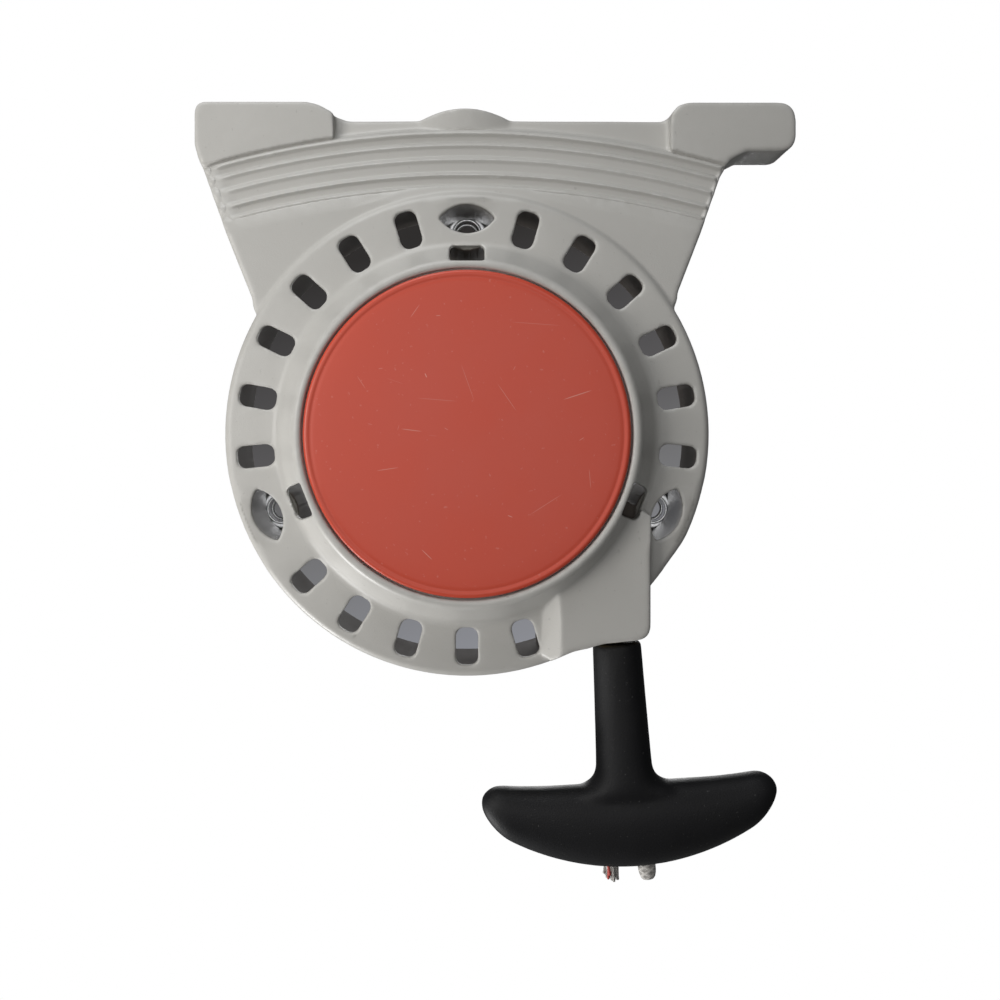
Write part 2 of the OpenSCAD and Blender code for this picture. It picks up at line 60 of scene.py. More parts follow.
# %% [markdown]
# ## Places
#
# The starter is easiest to describe as it lies on a bench with its face up: x to the right, y
# towards the head plate and z up from the mounting rim. The frame stands it upright with its face
# towards -Y, so one helper turns bench millimetres into frame metres. A second helper does the same
# for the pull line, which leaves the outlet and runs down through the grip.

# %% Places
PULL_TILT = math.radians(3.4)
OUTLET = (51.2, -68.7, 25.25)
PULL_AXIS = Vector((math.sin(PULL_TILT), 0, -math.cos(PULL_TILT)))
PULL_SIDE = Vector((math.cos(PULL_TILT), 0, math.sin(PULL_TILT)))


def bench(x, y, z):
    """Bench millimetres to frame metres."""
    return Vector((x, -z, y)) * MM


def on_pull(v, w, u):
    """A point u mm down the pull line, v mm to the right of it and w mm towards the viewer."""
    return bench(*OUTLET) + (PULL_SIDE * v + PULL_AXIS * u) * MM + Vector((0, -w * MM, 0))


print("grip end at", [round(c, 4) for c in on_pull(0, 0, 79.3)])

# %% [markdown]
# ## Camera, light and floor
#
# The starter is seen square on, from about 40 cm in front of its slotted ring. A lens shift places
# it in the frame without tilting the camera, so the walls stay upright. The light is a pale studio:
# bright from the left and the lower left, softer from above and from the front, with a fill behind.
# The part hangs well above the floor, because a full pull of the rope takes the grip 0.8 m down. The
# floor stays clear and only catches shadows.
#
# A card lies behind the ring, where a bench would be, so that the slots look onto a shaded surface.
# Its shade and light are painted: it glows, though it is no lamp, from near black at the top to
# blue-grey at the bottom. It has a front only: from behind it is clear, and it casts no shadow on the
# works inside.

# %% Camera
RING_PLANE = 38 * MM
VIEW_DISTANCE = 0.400
camera_data = bpy.data.cameras.new("camera")
camera_data.sensor_width = 36
camera_data.lens = 43.28
camera_data.shift_x = 0.033
camera_data.shift_y = -0.066
camera_data.clip_start = 0.01
camera_data.clip_end = 20
camera = bpy.data.objects.new("camera", camera_data)
camera.location = (0, -(RING_PLANE + VIEW_DISTANCE), 0)
camera.rotation_euler = (math.radians(90), 0, 0)
bpy.context.scene.collection.objects.link(camera)
bpy.context.scene.camera = camera
bpy.context.scene.view_settings.view_transform = "Standard"
print("camera at", tuple(camera.location))


# %% Light
HOUSING_MIDDLE = Vector((0.02, -0.03, -0.02))


def area_light(name, place, size, power, tint=(1, 1, 1)):
    """A soft square light that faces the middle of the housing."""
    data = bpy.data.lights.new(name, "AREA")
    data.size = size
    data.energy = power
    data.color = tint
    light = bpy.data.objects.new(name, data)
    light.location = place
    aim = HOUSING_MIDDLE - Vector(place)
    light.rotation_euler = aim.to_track_quat("-Z", "Y").to_euler()
    bpy.context.scene.collection.objects.link(light)
    return light


area_light("window_left", (-0.36, -0.38, 0.03), 0.22, 1.3, (1.0, 0.985, 0.96))
area_light("low_left", (-0.40, -0.02, -0.47), 0.20, 2.8)
area_light("overhead", (-0.16, -0.26, 0.62), 0.4, 2.3, (0.97, 0.985, 1.0))
area_light("room_front", (0.0, -1.0, 0.08), 0.62, 1.65)
area_light("back_fill", (0.15, 1.6, 0.2), 0.6, 8.0)

world = bpy.data.worlds.new("studio")
bpy.context.scene.world = world
world.use_nodes = True
sky = world.node_tree.nodes
sky.clear()
backdrop = sky.new("ShaderNodeBackground")
backdrop.inputs["Color"].default_value = (1, 1, 1, 1)
backdrop.inputs["Strength"].default_value = 1.0
ambient = sky.new("ShaderNodeBackground")
ambient.inputs["Color"].default_value = (0.96, 0.98, 1.0, 1)
ambient.inputs["Strength"].default_value = 0.07
seen = sky.new("ShaderNodeLightPath")
choose = sky.new("ShaderNodeMixShader")
out = sky.new("ShaderNodeOutputWorld")
world.node_tree.links.new(seen.outputs["Is Camera Ray"], choose.inputs["Fac"])
world.node_tree.links.new(ambient.outputs["Background"], choose.inputs[1])
world.node_tree.links.new(backdrop.outputs["Background"], choose.inputs[2])
world.node_tree.links.new(choose.outputs["Shader"], out.inputs["Surface"])

# %% Floor
FLOOR_Z = -1.3
bpy.ops.object.select_all(action="DESELECT")
bpy.ops.mesh.primitive_plane_add(size=2.6, location=(0, 0, FLOOR_Z))
floor = bpy.context.object
floor.name = "studio_floor"
floor_paint = bpy.data.materials.new("floor_paint")
floor_paint.use_nodes = True
floor_shader = floor_paint.node_tree.nodes["Principled BSDF"]
floor_shader.inputs["Base Color"].default_value = (0.86, 0.86, 0.86, 1)
floor_shader.inputs["Roughness"].default_value = 0.8
floor.data.materials.append(floor_paint)
floor.is_shadow_catcher = True
print("floor at", FLOOR_Z)

# %% Card behind the ring
CARD_R = 78.9 * MM
CARD_Y = -0.3 * MM
CARD_SLANT = math.radians(105)
CARD_SPREAD = 6.3
CARD_SHIFT = 0.45
# Painted shade and light: the card glows from near black at the top to blue-grey at the bottom, as a
# bench behind the ring would lie in shade and light.
CARD_SHADE_TONES = [(0.0, (0.030, 0.028, 0.027, 1)), (0.42, (0.10, 0.097, 0.10, 1)),
              (0.62, (0.17, 0.17, 0.175, 1)), (1.0, (0.27, 0.277, 0.305, 1))]
bpy.ops.mesh.primitive_circle_add(vertices=96, radius=CARD_R, fill_type="NGON",
                                  location=(0, CARD_Y, 0), rotation=(math.radians(90), 0, 0))
bench_card = bpy.context.object
bench_card.name = "bench_card"
card_paint = bpy.data.materials.new("card_paint")
card_paint.use_nodes = True
card_tree = card_paint.node_tree
card_tree.nodes.remove(card_tree.nodes["Principled BSDF"])
card_place = card_tree.nodes.new("ShaderNodeTexCoord")
card_slant = card_tree.nodes.new("ShaderNodeMapping")
card_slant.inputs["Rotation"].default_value = (0, 0, CARD_SLANT)
card_slant.inputs["Scale"].default_value = (-CARD_SPREAD, CARD_SPREAD, CARD_SPREAD)
card_slant.inputs["Location"].default_value = (CARD_SHIFT, 0, 0)
card_split = card_tree.nodes.new("ShaderNodeSeparateXYZ")
card_fade = card_tree.nodes.new("ShaderNodeValToRGB")
stops = card_fade.color_ramp.elements
for at, _ in CARD_SHADE_TONES[1:-1]:
    stops.new(at)
for stop, (_, colour) in zip(stops, CARD_SHADE_TONES):
    stop.color = colour
card_glow = card_tree.nodes.new("ShaderNodeEmission")
card_side = card_tree.nodes.new("ShaderNodeNewGeometry")
card_open = card_tree.nodes.new("ShaderNodeBsdfTransparent")
card_mix = card_tree.nodes.new("ShaderNodeMixShader")
card_tree.links.new(card_place.outputs["Object"], card_slant.inputs["Vector"])
card_tree.links.new(card_slant.outputs["Vector"], card_split.inputs["Vector"])
card_tree.links.new(card_split.outputs["X"], card_fade.inputs["Fac"])
card_tree.links.new(card_fade.outputs["Color"], card_glow.inputs["Color"])
card_tree.links.new(card_side.outputs["Backfacing"], card_mix.inputs["Fac"])
card_tree.links.new(card_glow.outputs["Emission"], card_mix.inputs[1])
card_tree.links.new(card_open.outputs["BSDF"], card_mix.inputs[2])
card_tree.links.new(card_mix.outputs["Shader"], card_tree.nodes["Material Output"].inputs["Surface"])
bench_card.data.materials.append(card_paint)
bench_card.visible_shadow = False
print("card radius", round(CARD_R, 4), "with", len(stops), "tones")

# %% [markdown]
# ## Finishes: shared effects
#
# Real surfaces are never even. Three small effects are built once as node groups and used by every
# finish with its own values: `fine_grain` is the tiny relief of a moulded or rolled surface,
# `cloudy` is the slow drift in tone and gloss that handling leaves, and `worn_edges` brightens the
# places where a part is rubbed. They put out masks and normals only; the shader stays in the
# material, where it can be baked.


# %% Node helpers
def new_group(name, inputs, outputs):
    """A node group with named sockets. Each socket is (name, type, default)."""
    group = bpy.data.node_groups.new(name, "ShaderNodeTree")
    for title, kind, value in inputs:
        socket = group.interface.new_socket(name=title, in_out="INPUT", socket_type=kind)
        if value is not None:
            socket.default_value = value
    for title, kind in outputs:
        group.interface.new_socket(name=title, in_out="OUTPUT", socket_type=kind)
    start = group.nodes.new("NodeGroupInput")
    end = group.nodes.new("NodeGroupOutput")
    return group, start, end


def wire(tree, source, target):
    """Links two sockets."""
    tree.links.new(source, target)


def maths(tree, operation, a, b=None):
    """A Math node; a and b are sockets or numbers."""
    node = tree.nodes.new("ShaderNodeMath")
    node.operation = operation
    for index, value in enumerate([a, b]):
        if value is None:
            continue
        if isinstance(value, (int, float)):
            node.inputs[index].default_value = value
        else:
            wire(tree, value, node.inputs[index])
    return node.outputs[0]


def ramp(tree, source, stops):
    """A colour ramp; stops are (position, grey value or colour)."""
    node = tree.nodes.new("ShaderNodeValToRGB")
    wire(tree, source, node.inputs["Fac"])
    elements = node.color_ramp.elements
    while len(elements) < len(stops):
        elements.new(0.5)
    for element, (place, value) in zip(elements, stops):
        colour = value if isinstance(value, tuple) else (value, value, value)
        element.position = place
        element.color = (*colour, 1)
    return node.outputs["Color"]


def noise(tree, vector, scale, detail, roughness=0.5):
    """A Noise texture on a vector."""
    node = tree.nodes.new("ShaderNodeTexNoise")
    node.inputs["Scale"].default_value = scale
    node.inputs["Detail"].default_value = detail
    node.inputs["Roughness"].default_value = roughness
    wire(tree, vector, node.inputs["Vector"])
    return node.outputs["Fac"]


def mix_colour(tree, factor, a, b):
    """A colour mix; a and b are sockets or colours."""
    node = tree.nodes.new("ShaderNodeMix")
    node.data_type = "RGBA"
    for socket, value in ((node.inputs["Factor"], factor), (node.inputs[6], a), (node.inputs[7], b)):
        if isinstance(value, (int, float)):
            socket.default_value = value
        elif isinstance(value, tuple):
            socket.default_value = (*value, 1)
        else:
            wire(tree, value, socket)
    return node.outputs[2]


print("node helpers ready")


# %% Shared effects
def build_fine_grain():
    """Two sizes of tiny bumps, mixed with a normal."""
    group, start, end = new_group(
        "fine_grain",
        [("Vector", "NodeSocketVector", None), ("Size", "NodeSocketFloat", 1500.0),
         ("Depth", "NodeSocketFloat", 0.00004), ("Strength", "NodeSocketFloat", 1.0)],
        [("Normal", "NodeSocketVector")])
    coarse = group.nodes.new("ShaderNodeTexNoise")
    coarse.inputs["Detail"].default_value = 3
    wire(group, start.outputs["Vector"], coarse.inputs["Vector"])
    wire(group, start.outputs["Size"], coarse.inputs["Scale"])
    cells = group.nodes.new("ShaderNodeTexVoronoi")
    wire(group, start.outputs["Vector"], cells.inputs["Vector"])
    wire(group, maths(group, "MULTIPLY", start.outputs["Size"], 1.7), cells.inputs["Scale"])
    height = maths(group, "ADD", coarse.outputs["Fac"],
                   maths(group, "MULTIPLY", cells.outputs["Distance"], 0.6))
    bump = group.nodes.new("ShaderNodeBump")
    wire(group, start.outputs["Depth"], bump.inputs["Distance"])
    wire(group, start.outputs["Strength"], bump.inputs["Strength"])
    wire(group, height, bump.inputs["Height"])
    wire(group, bump.outputs["Normal"], end.inputs["Normal"])
    return group


def build_cloudy():
    """Slow blotches plus sparse specks, as a mask from 0 to 1."""
    group, start, end = new_group(
        "cloudy",
        [("Vector", "NodeSocketVector", None), ("Size", "NodeSocketFloat", 30.0)],
        [("Clouds", "NodeSocketFloat"), ("Specks", "NodeSocketFloat")])
    clouds = group.nodes.new("ShaderNodeTexNoise")
    clouds.inputs["Detail"].default_value = 5
    clouds.inputs["Roughness"].default_value = 0.6
    wire(group, start.outputs["Vector"], clouds.inputs["Vector"])
    wire(group, start.outputs["Size"], clouds.inputs["Scale"])
    wire(group, clouds.outputs["Fac"], end.inputs["Clouds"])
    dots = group.nodes.new("ShaderNodeTexNoise")
    dots.inputs["Detail"].default_value = 2
    wire(group, start.outputs["Vector"], dots.inputs["Vector"])
    wire(group, maths(group, "MULTIPLY", start.outputs["Size"], 22), dots.inputs["Scale"])
    specks = ramp(group, dots.outputs["Fac"], [(0.70, 0.0), (0.76, 1.0)])
    wire(group, specks, end.inputs["Specks"])
    return group


def build_worn_edges():
    """Convex edges from the mesh's own pointiness, broken up by noise."""
    group, start, end = new_group(
        "worn_edges",
        [("Vector", "NodeSocketVector", None), ("Size", "NodeSocketFloat", 180.0)],
        [("Wear", "NodeSocketFloat")])
    shape = group.nodes.new("ShaderNodeNewGeometry")
    edges = ramp(group, shape.outputs["Pointiness"], [(0.50, 0.0), (0.56, 1.0)])
    broken = group.nodes.new("ShaderNodeTexNoise")
    broken.inputs["Detail"].default_value = 4
    wire(group, start.outputs["Vector"], broken.inputs["Vector"])
    wire(group, start.outputs["Size"], broken.inputs["Scale"])
    patches = ramp(group, broken.outputs["Fac"], [(0.42, 0.0), (0.62, 1.0)])
    wire(group, maths(group, "MULTIPLY", edges, patches), end.inputs["Wear"])
    return group


FINE_GRAIN = build_fine_grain()
CLOUDY = build_cloudy()
WORN_EDGES = build_worn_edges()
print("effects", [g.name for g in bpy.data.node_groups])


# %% Finish helpers
def new_finish(name):
    """A material with a Principled shader; returns it, its tree, the shader and Object coordinates."""
    material = bpy.data.materials.new(name)
    material.use_nodes = True
    tree = material.node_tree
    shader = tree.nodes["Principled BSDF"]
    place = tree.nodes.new("ShaderNodeTexCoord")
    return material, tree, shader, place.outputs["Object"]


def use_group(tree, group, vector, **values):
    """Places a group in a material, fed by a vector and with its own values."""
    node = tree.nodes.new("ShaderNodeGroup")
    node.node_tree = group
    wire(tree, vector, node.inputs["Vector"])
    for title, value in values.items():
        node.inputs[title].default_value = value
    return node


def vary_roughness(tree, shader, mask, low, high):
    """Roughness that follows a mask between two values."""
    spread = tree.nodes.new("ShaderNodeMapRange")
    spread.inputs["From Min"].default_value = 0.3
    spread.inputs["From Max"].default_value = 0.7
    spread.inputs["To Min"].default_value = low
    spread.inputs["To Max"].default_value = high
    wire(tree, mask, spread.inputs["Value"])
    wire(tree, spread.outputs["Result"], shader.inputs["Roughness"])


print("finish helpers ready")

# %% [markdown]
# ## Finish: moulded grey plastic
#
# Glass-filled polyamide from a spark-eroded mould: a warm light grey with a fine, faintly glittering
# grain. Tone drifts slowly, and dust settles in it as tiny darker specks. Two masks on the housing's
# mesh change it: the smooth wall of each screw pocket is glossier and darker, with painted shade, and
# the walls inside the ring are matt and dark brown, which is painted shade.


# %% Moulded grey plastic
def moulded_grey():
    """The housing's plastic, which follows two masks of its mesh: glossier pocket walls and matt inside
    walls, both darkened as painted shade.
    """
    material, tree, shader, place = new_finish("moulded_grey")
    cloudy = use_group(tree, CLOUDY, place, Size=26.0)
    tone = mix_colour(tree, cloudy.outputs["Clouds"], (0.44, 0.43, 0.405), (0.50, 0.489, 0.462))
    specked = mix_colour(tree, maths(tree, "MULTIPLY", cloudy.outputs["Specks"], 0.30), tone,
                         (0.26, 0.25, 0.235))
    wear = use_group(tree, WORN_EDGES, place, Size=220.0)
    rubbed = mix_colour(tree, maths(tree, "MULTIPLY", wear.outputs["Wear"], 0.45), specked,
                        (0.66, 0.655, 0.64))
    # Painted shade: the pocket mask turns the screw pockets' walls a darker grey.
    gloss_and_shade_mask = tree.nodes.new("ShaderNodeAttribute")
    gloss_and_shade_mask.attribute_name = "pocket_gloss_and_shade"
    toned = mix_colour(tree, gloss_and_shade_mask.outputs["Fac"], rubbed, (0.29, 0.28, 0.26))
    # Painted shade: the inside mask turns the walls inside the ring dark brown, and below it makes them
    # matt.
    inside_shade_mask = tree.nodes.new("ShaderNodeAttribute")
    inside_shade_mask.attribute_name = "inside_shade"
    dust_and_shade = mix_colour(tree, inside_shade_mask.outputs["Fac"], toned, (0.115, 0.100, 0.088))
    wire(tree, dust_and_shade, shader.inputs["Base Color"])
    gloss = maths(tree, "MULTIPLY_ADD", cloudy.outputs["Clouds"], 0.35)
    gloss.node.inputs[2].default_value = 0.25
    matt = maths(tree, "MULTIPLY", inside_shade_mask.outputs["Fac"], 1.4)
    shine = maths(tree, "SUBTRACT", gloss_and_shade_mask.outputs["Fac"], matt)
    wire(tree, maths(tree, "SUBTRACT", gloss, maths(tree, "MULTIPLY", shine, 0.26)),
         shader.inputs["Roughness"])
    grain = use_group(tree, FINE_GRAIN, place, Size=1900.0, Depth=0.00006, Strength=0.55)
    wire(tree, grain.outputs["Normal"], shader.inputs["Normal"])
    dull = maths(tree, "MULTIPLY_ADD", inside_shade_mask.outputs["Fac"], -0.44)
    dull.node.inputs[2].default_value = 0.5
    wire(tree, dull, shader.inputs["Specular IOR Level"])
    return material


GREY = moulded_grey()
print("made", GREY.name)

# %% [markdown]
# ## Finish: red disc
#
# The disc is a smoother red-orange plastic that has been handled: pale hairline scratches, a few
# short scuffs, and a soft gloss that is slightly uneven. Each scratch is a thin straight stroke,
# placed by a loop, so it can be baked like paint.


# %% Red disc
STROKE_COUNT = 26
STROKE_REACH = 46


def stroke_mask(tree, place, centre, angle, length, width):
    """Mask of one stroke on the disc's face, from bench millimetres."""
    mapping = tree.nodes.new("ShaderNodeMapping")
    mapping.vector_type = "TEXTURE"
    mapping.inputs["Location"].default_value = bench(centre[0], centre[1], 50)
    mapping.inputs["Rotation"].default_value = (0, angle, 0)
    mapping.inputs["Scale"].default_value = (length * MM, 1, width * MM)
    wire(tree, place, mapping.inputs["Vector"])
    split = tree.nodes.new("ShaderNodeSeparateXYZ")
    wire(tree, mapping.outputs["Vector"], split.inputs["Vector"])
    along = maths(tree, "POWER", maths(tree, "ABSOLUTE", split.outputs["X"]), 4)
    across = maths(tree, "POWER", maths(tree, "ABSOLUTE", split.outputs["Z"]), 2)
    distance = maths(tree, "ADD", along, across)
    return maths(tree, "MAXIMUM", maths(tree, "SUBTRACT", 1.0, distance), 0.0)


def disc_red():
    """The disc's plastic, with pale strokes scattered over its face."""
    material, tree, shader, place = new_finish("disc_red")
    cloudy = use_group(tree, CLOUDY, place, Size=34.0)
    tone = mix_colour(tree, cloudy.outputs["Clouds"], (0.53, 0.058, 0.027), (0.59, 0.072, 0.036))
    pick = random.Random(7)
    strokes = None
    for _ in range(STROKE_COUNT):
        reach = STROKE_REACH * math.sqrt(pick.random())
        turn = pick.uniform(0, 2 * math.pi)
        centre = (reach * math.cos(turn), reach * math.sin(turn))
        mask = stroke_mask(tree, place, centre, pick.uniform(0, math.pi), 0.8 + 9 * pick.random() ** 3,
                           pick.uniform(0.08, 0.2))
        mask = maths(tree, "MULTIPLY", mask, pick.uniform(0.12, 0.62))
        strokes = mask if strokes is None else maths(tree, "MAXIMUM", strokes, mask)
    dust = maths(tree, "MULTIPLY", cloudy.outputs["Specks"], 0.16)
    paled = mix_colour(tree, maths(tree, "MAXIMUM", strokes, dust), tone, (0.72, 0.42, 0.35))
    wire(tree, paled, shader.inputs["Base Color"])
    vary_roughness(tree, shader, cloudy.outputs["Clouds"], 0.34, 0.46)
    grain = use_group(tree, FINE_GRAIN, place, Size=1400.0, Depth=0.00002, Strength=0.4)
    wire(tree, grain.outputs["Normal"], shader.inputs["Normal"])
    return material


RED = disc_red()
print("made", RED.name)

# %% [markdown]
# ## Finish: metals
#
# Zinc plating is bright and slightly cloudy. The screw sleeves get a brighter copy of the same
# plating, which is painted light: it stands in for the strong reflections on them. Ground steel has
# fine turning lines round the axis, blued spring steel is dark, and the eyelet is brass. One function
# makes them all from a colour, a gloss range and the strength of the turning lines.


# %% Metals
TURNING_SCALE = 900.0


def metal(name, dark, light, gloss, lines=0.0):
    """A metal finish; lines is the depth of fine rings about the Y axis."""
    material, tree, shader, place = new_finish(name)
    cloudy = use_group(tree, CLOUDY, place, Size=120.0)
    tone = mix_colour(tree, cloudy.outputs["Clouds"], dark, light)
    wear = use_group(tree, WORN_EDGES, place, Size=400.0)
    tone = mix_colour(tree, maths(tree, "MULTIPLY", wear.outputs["Wear"], 0.5), tone,
                      tuple(min(1.0, c * 1.25) for c in light))
    wire(tree, tone, shader.inputs["Base Color"])
    shader.inputs["Metallic"].default_value = 1.0
    vary_roughness(tree, shader, cloudy.outputs["Clouds"], *gloss)
    rings = tree.nodes.new("ShaderNodeTexWave")
    rings.wave_type = "RINGS"
    rings.rings_direction = "Y"
    rings.inputs["Scale"].default_value = TURNING_SCALE
    rings.inputs["Distortion"].default_value = 1.5
    rings.inputs["Detail"].default_value = 3
    wire(tree, place, rings.inputs["Vector"])
    height = maths(tree, "ADD", rings.outputs["Fac"], noise(tree, place, 2500, 3))
    bump = tree.nodes.new("ShaderNodeBump")
    bump.inputs["Distance"].default_value = 0.00002
    bump.inputs["Strength"].default_value = 0.15 + lines
    wire(tree, height, bump.inputs["Height"])
    wire(tree, bump.outputs["Normal"], shader.inputs["Normal"])
    return material


ZINC = metal("zinc_plate", (0.60, 0.61, 0.62), (0.78, 0.79, 0.80), (0.16, 0.34))
# Painted light: the sleeves' zinc is a brighter copy of the same plating, made to look strongly lit.
SLEEVE_ZINC_LIT = metal("sleeve_zinc_lit", (0.84, 0.85, 0.87), (0.95, 0.95, 0.95), (0.18, 0.28), 0.1)
GROUND = metal("ground_steel", (0.46, 0.46, 0.47), (0.60, 0.60, 0.61), (0.22, 0.38), 0.3)
PRESSED = metal("pressed_steel", (0.36, 0.36, 0.365), (0.50, 0.50, 0.505), (0.30, 0.50))
SINTERED = metal("sintered_steel", (0.22, 0.215, 0.205), (0.34, 0.33, 0.31), (0.42, 0.60))
BLUED = metal("blued_spring", (0.08, 0.09, 0.13), (0.16, 0.17, 0.22), (0.25, 0.42))
BRASS = metal("brass", (0.60, 0.40, 0.14), (0.80, 0.58, 0.26), (0.18, 0.34))
print("metals", [m.name for m in (ZINC, SLEEVE_ZINC_LIT, GROUND, PRESSED, SINTERED, BLUED, BRASS)])

# %% [markdown]
# ## Finish: black grip and black rotor
#
# The grip is a tough matt rubber-like plastic with a fine leathery grain and paler, polished places
# where fingers hold it. The rotor is plain black nylon, a little glossier.


# %% Black plastics
def black_plastic(name, dark, light, gloss, grain_size, grain_depth, wear_amount):
    """A black plastic between two tones, with a gloss range, a grain and rubbed edges."""
    material, tree, shader, place = new_finish(name)
    cloudy = use_group(tree, CLOUDY, place, Size=48.0)
    tone = mix_colour(tree, cloudy.outputs["Clouds"], dark, light)
    dust_and_shade = mix_colour(tree, maths(tree, "MULTIPLY", cloudy.outputs["Specks"], 0.22), tone,
                       (0.16, 0.155, 0.15))
    wear = use_group(tree, WORN_EDGES, place, Size=160.0)
    rubbed = mix_colour(tree, maths(tree, "MULTIPLY", wear.outputs["Wear"], wear_amount), dust_and_shade,
                        (0.075, 0.075, 0.078))
    wire(tree, rubbed, shader.inputs["Base Color"])
    vary_roughness(tree, shader, cloudy.outputs["Clouds"], *gloss)
    grain = use_group(tree, FINE_GRAIN, place, Size=grain_size, Depth=grain_depth, Strength=0.6)
    wire(tree, grain.outputs["Normal"], shader.inputs["Normal"])
    return material


GRIP_BLACK = black_plastic("grip_black", (0.0045, 0.0045, 0.0052), (0.0075, 0.0075, 0.0085),
                           (0.50, 0.64), 1500.0, 0.00008, 0.2)
GRIP_BLACK.node_tree.nodes["Principled BSDF"].inputs["Specular IOR Level"].default_value = 0.28
ROTOR_BLACK = black_plastic("rotor_black", (0.018, 0.018, 0.019), (0.030, 0.030, 0.032), (0.34, 0.5),
                            1300.0, 0.00004, 0.5)
print("made", GRIP_BLACK.name, ROTOR_BLACK.name)

# %% [markdown]
# ## Finish: braided rope
#
# Starter rope is braided nylon, off-white and a little grubby, with a coloured tracer yarn. The gaps
# between the yarns are darker, which is painted shade. The pattern follows the rope's own UV map: V
# runs along the rope in braid lengths and U runs round it, so the yarns cross wherever the rope goes.


# %% Braided rope
def braided(name, gap_shade, traced=True):
    """Braided yarns with painted shade in the gaps; traced adds the coloured yarn."""
    material, tree, shader, place = new_finish(name)
    coords = tree.nodes.new("ShaderNodeUVMap")
    coords.uv_map = "braid"
    split = tree.nodes.new("ShaderNodeSeparateXYZ")
    wire(tree, coords.outputs["UV"], split.inputs["Vector"])
    round_it, along = split.outputs["X"], split.outputs["Y"]
    left = maths(tree, "SINE", maths(tree, "MULTIPLY", maths(tree, "ADD", round_it, along), 8 * math.pi))
    right = maths(tree, "SINE", maths(tree, "MULTIPLY", maths(tree, "SUBTRACT", round_it, along),
                                      8 * math.pi))
    yarns = maths(tree, "MAXIMUM", left, right)
    gaps = ramp(tree, yarns, [(0.0, 0.0), (0.55, 1.0)])
    fibres = noise(tree, place, 2600, 4, 0.7)
    cloudy = use_group(tree, CLOUDY, place, Size=110.0)
    tone = mix_colour(tree, cloudy.outputs["Clouds"], (0.42, 0.40, 0.37), (0.60, 0.58, 0.55))
    # Painted shade: the gaps between the yarns take the darker colour.
    shaded = mix_colour(tree, gaps, gap_shade, tone)
    marked = shaded
    if traced:
        tracer = maths(tree, "GREATER_THAN", maths(tree, "SINE", maths(
            tree, "MULTIPLY", maths(tree, "ADD", round_it, along), 2 * math.pi)), 0.95)
        marked = mix_colour(tree, maths(tree, "MULTIPLY", tracer, 0.85), shaded, (0.42, 0.06, 0.05))
    wire(tree, marked, shader.inputs["Base Color"])
    shader.inputs["Roughness"].default_value = 0.72
    shader.inputs["Sheen Weight"].default_value = 0.25
    height = maths(tree, "ADD", maths(tree, "MULTIPLY", yarns, 0.8),
                   maths(tree, "MULTIPLY", fibres, 0.5))
    bump = tree.nodes.new("ShaderNodeBump")
    bump.inputs["Distance"].default_value = 0.00025
    bump.inputs["Strength"].default_value = 0.8
    wire(tree, height, bump.inputs["Height"])
    wire(tree, bump.outputs["Normal"], shader.inputs["Normal"])
    return material


# The second value is the colour of the painted shade in the gaps between the yarns.
ROPE = braided("braided_rope", (0.22, 0.21, 0.195))
ROPE_END = braided("melted_rope", (0.30, 0.285, 0.265), False)
print("made", ROPE.name, ROPE_END.name)

# %% [markdown]
# ## Mesh helpers
#
# The operators act on whatever is selected, so each helper starts by selecting nothing. A copy of a
# frame part is made of loose triangles, so its doubles are merged before anything else is done.


# %% Mesh helpers
def select_only(*pieces):
    """Leaves only these objects selected, in object mode."""
    if bpy.context.object and bpy.context.object.mode != "OBJECT":
        bpy.ops.object.mode_set(mode="OBJECT")
    bpy.ops.object.select_all(action="DESELECT")
    for piece in pieces:
        piece.select_set(True)
    bpy.context.view_layer.objects.active = pieces[0]


def join(*pieces):
    """Joins these objects into the first one."""
    select_only(*pieces)
    bpy.ops.object.join()
    return pieces[0]


def settle(piece):
    """Puts the object's place into its mesh."""
    select_only(piece)
    bpy.ops.object.transform_apply(location=True, rotation=True, scale=True)


def add_modifier(piece, kind, **values):
    """Adds a modifier with its values and applies it."""
    select_only(piece)
    modifier = piece.modifiers.new(kind.lower(), kind)
    for title, value in values.items():
        setattr(modifier, title, value)
    bpy.ops.object.modifier_apply(modifier=modifier.name)


def merged_copy(node, name):
    """A copy of a frame part with its doubles merged."""
    mesh = NODES[node].data.copy()
    mesh.materials.clear()
    piece = bpy.data.objects.new(name, mesh)
    bpy.context.scene.collection.objects.link(piece)
    select_only(piece)
    bpy.ops.object.mode_set(mode="EDIT")
    bpy.ops.mesh.select_all(action="SELECT")
    bpy.ops.mesh.remove_doubles(threshold=0.00001)
    bpy.ops.object.mode_set(mode="OBJECT")
    return piece


def limit_faces(piece, most):
    """Thins out a mesh that has more triangles than this."""
    faces = sum(len(p.vertices) - 2 for p in piece.data.polygons)
    if faces > most:
        add_modifier(piece, "DECIMATE", ratio=most / faces)


def smooth_all(piece):
    """Smooth shading everywhere."""
    select_only(piece)
    bpy.ops.object.shade_smooth()


def smooth_by_angle(piece, degrees):
    """Smooth shading, but edges sharper than this angle stay sharp."""
    select_only(piece)
    bpy.ops.object.shade_smooth_by_angle(angle=math.radians(degrees))


def finish_piece(piece, material, body, slot, *nodes):
    """Gives a piece its finish and its body, and hides the frame parts it stands for. slot is not used.
    """
    piece.data.materials.clear()
    piece.data.materials.append(material)
    piece.data.name = piece.name
    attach(piece, body)
    if nodes:
        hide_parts(*nodes)


def corners(piece):
    """Vertex places as an array, in bench millimetres."""
    flat = np.zeros(len(piece.data.vertices) * 3)
    piece.data.vertices.foreach_get("co", flat)
    frame_mm = flat.reshape(-1, 3) / MM
    return np.stack([frame_mm[:, 0], frame_mm[:, 2], -frame_mm[:, 1]], axis=1)


print("mesh helpers ready")

# %% [markdown]
# ## Turned and tubular pieces
#
# Two helpers make most of the other shapes. Both start from Blender's grid and wrap it round: one
# round an axis with a profile, the other round a path. The grid brings a UV map with it, so the rope
# gets its braid coordinates for free: U goes round and V runs along.


# %% Wrapped grids
BRAID = 0.009


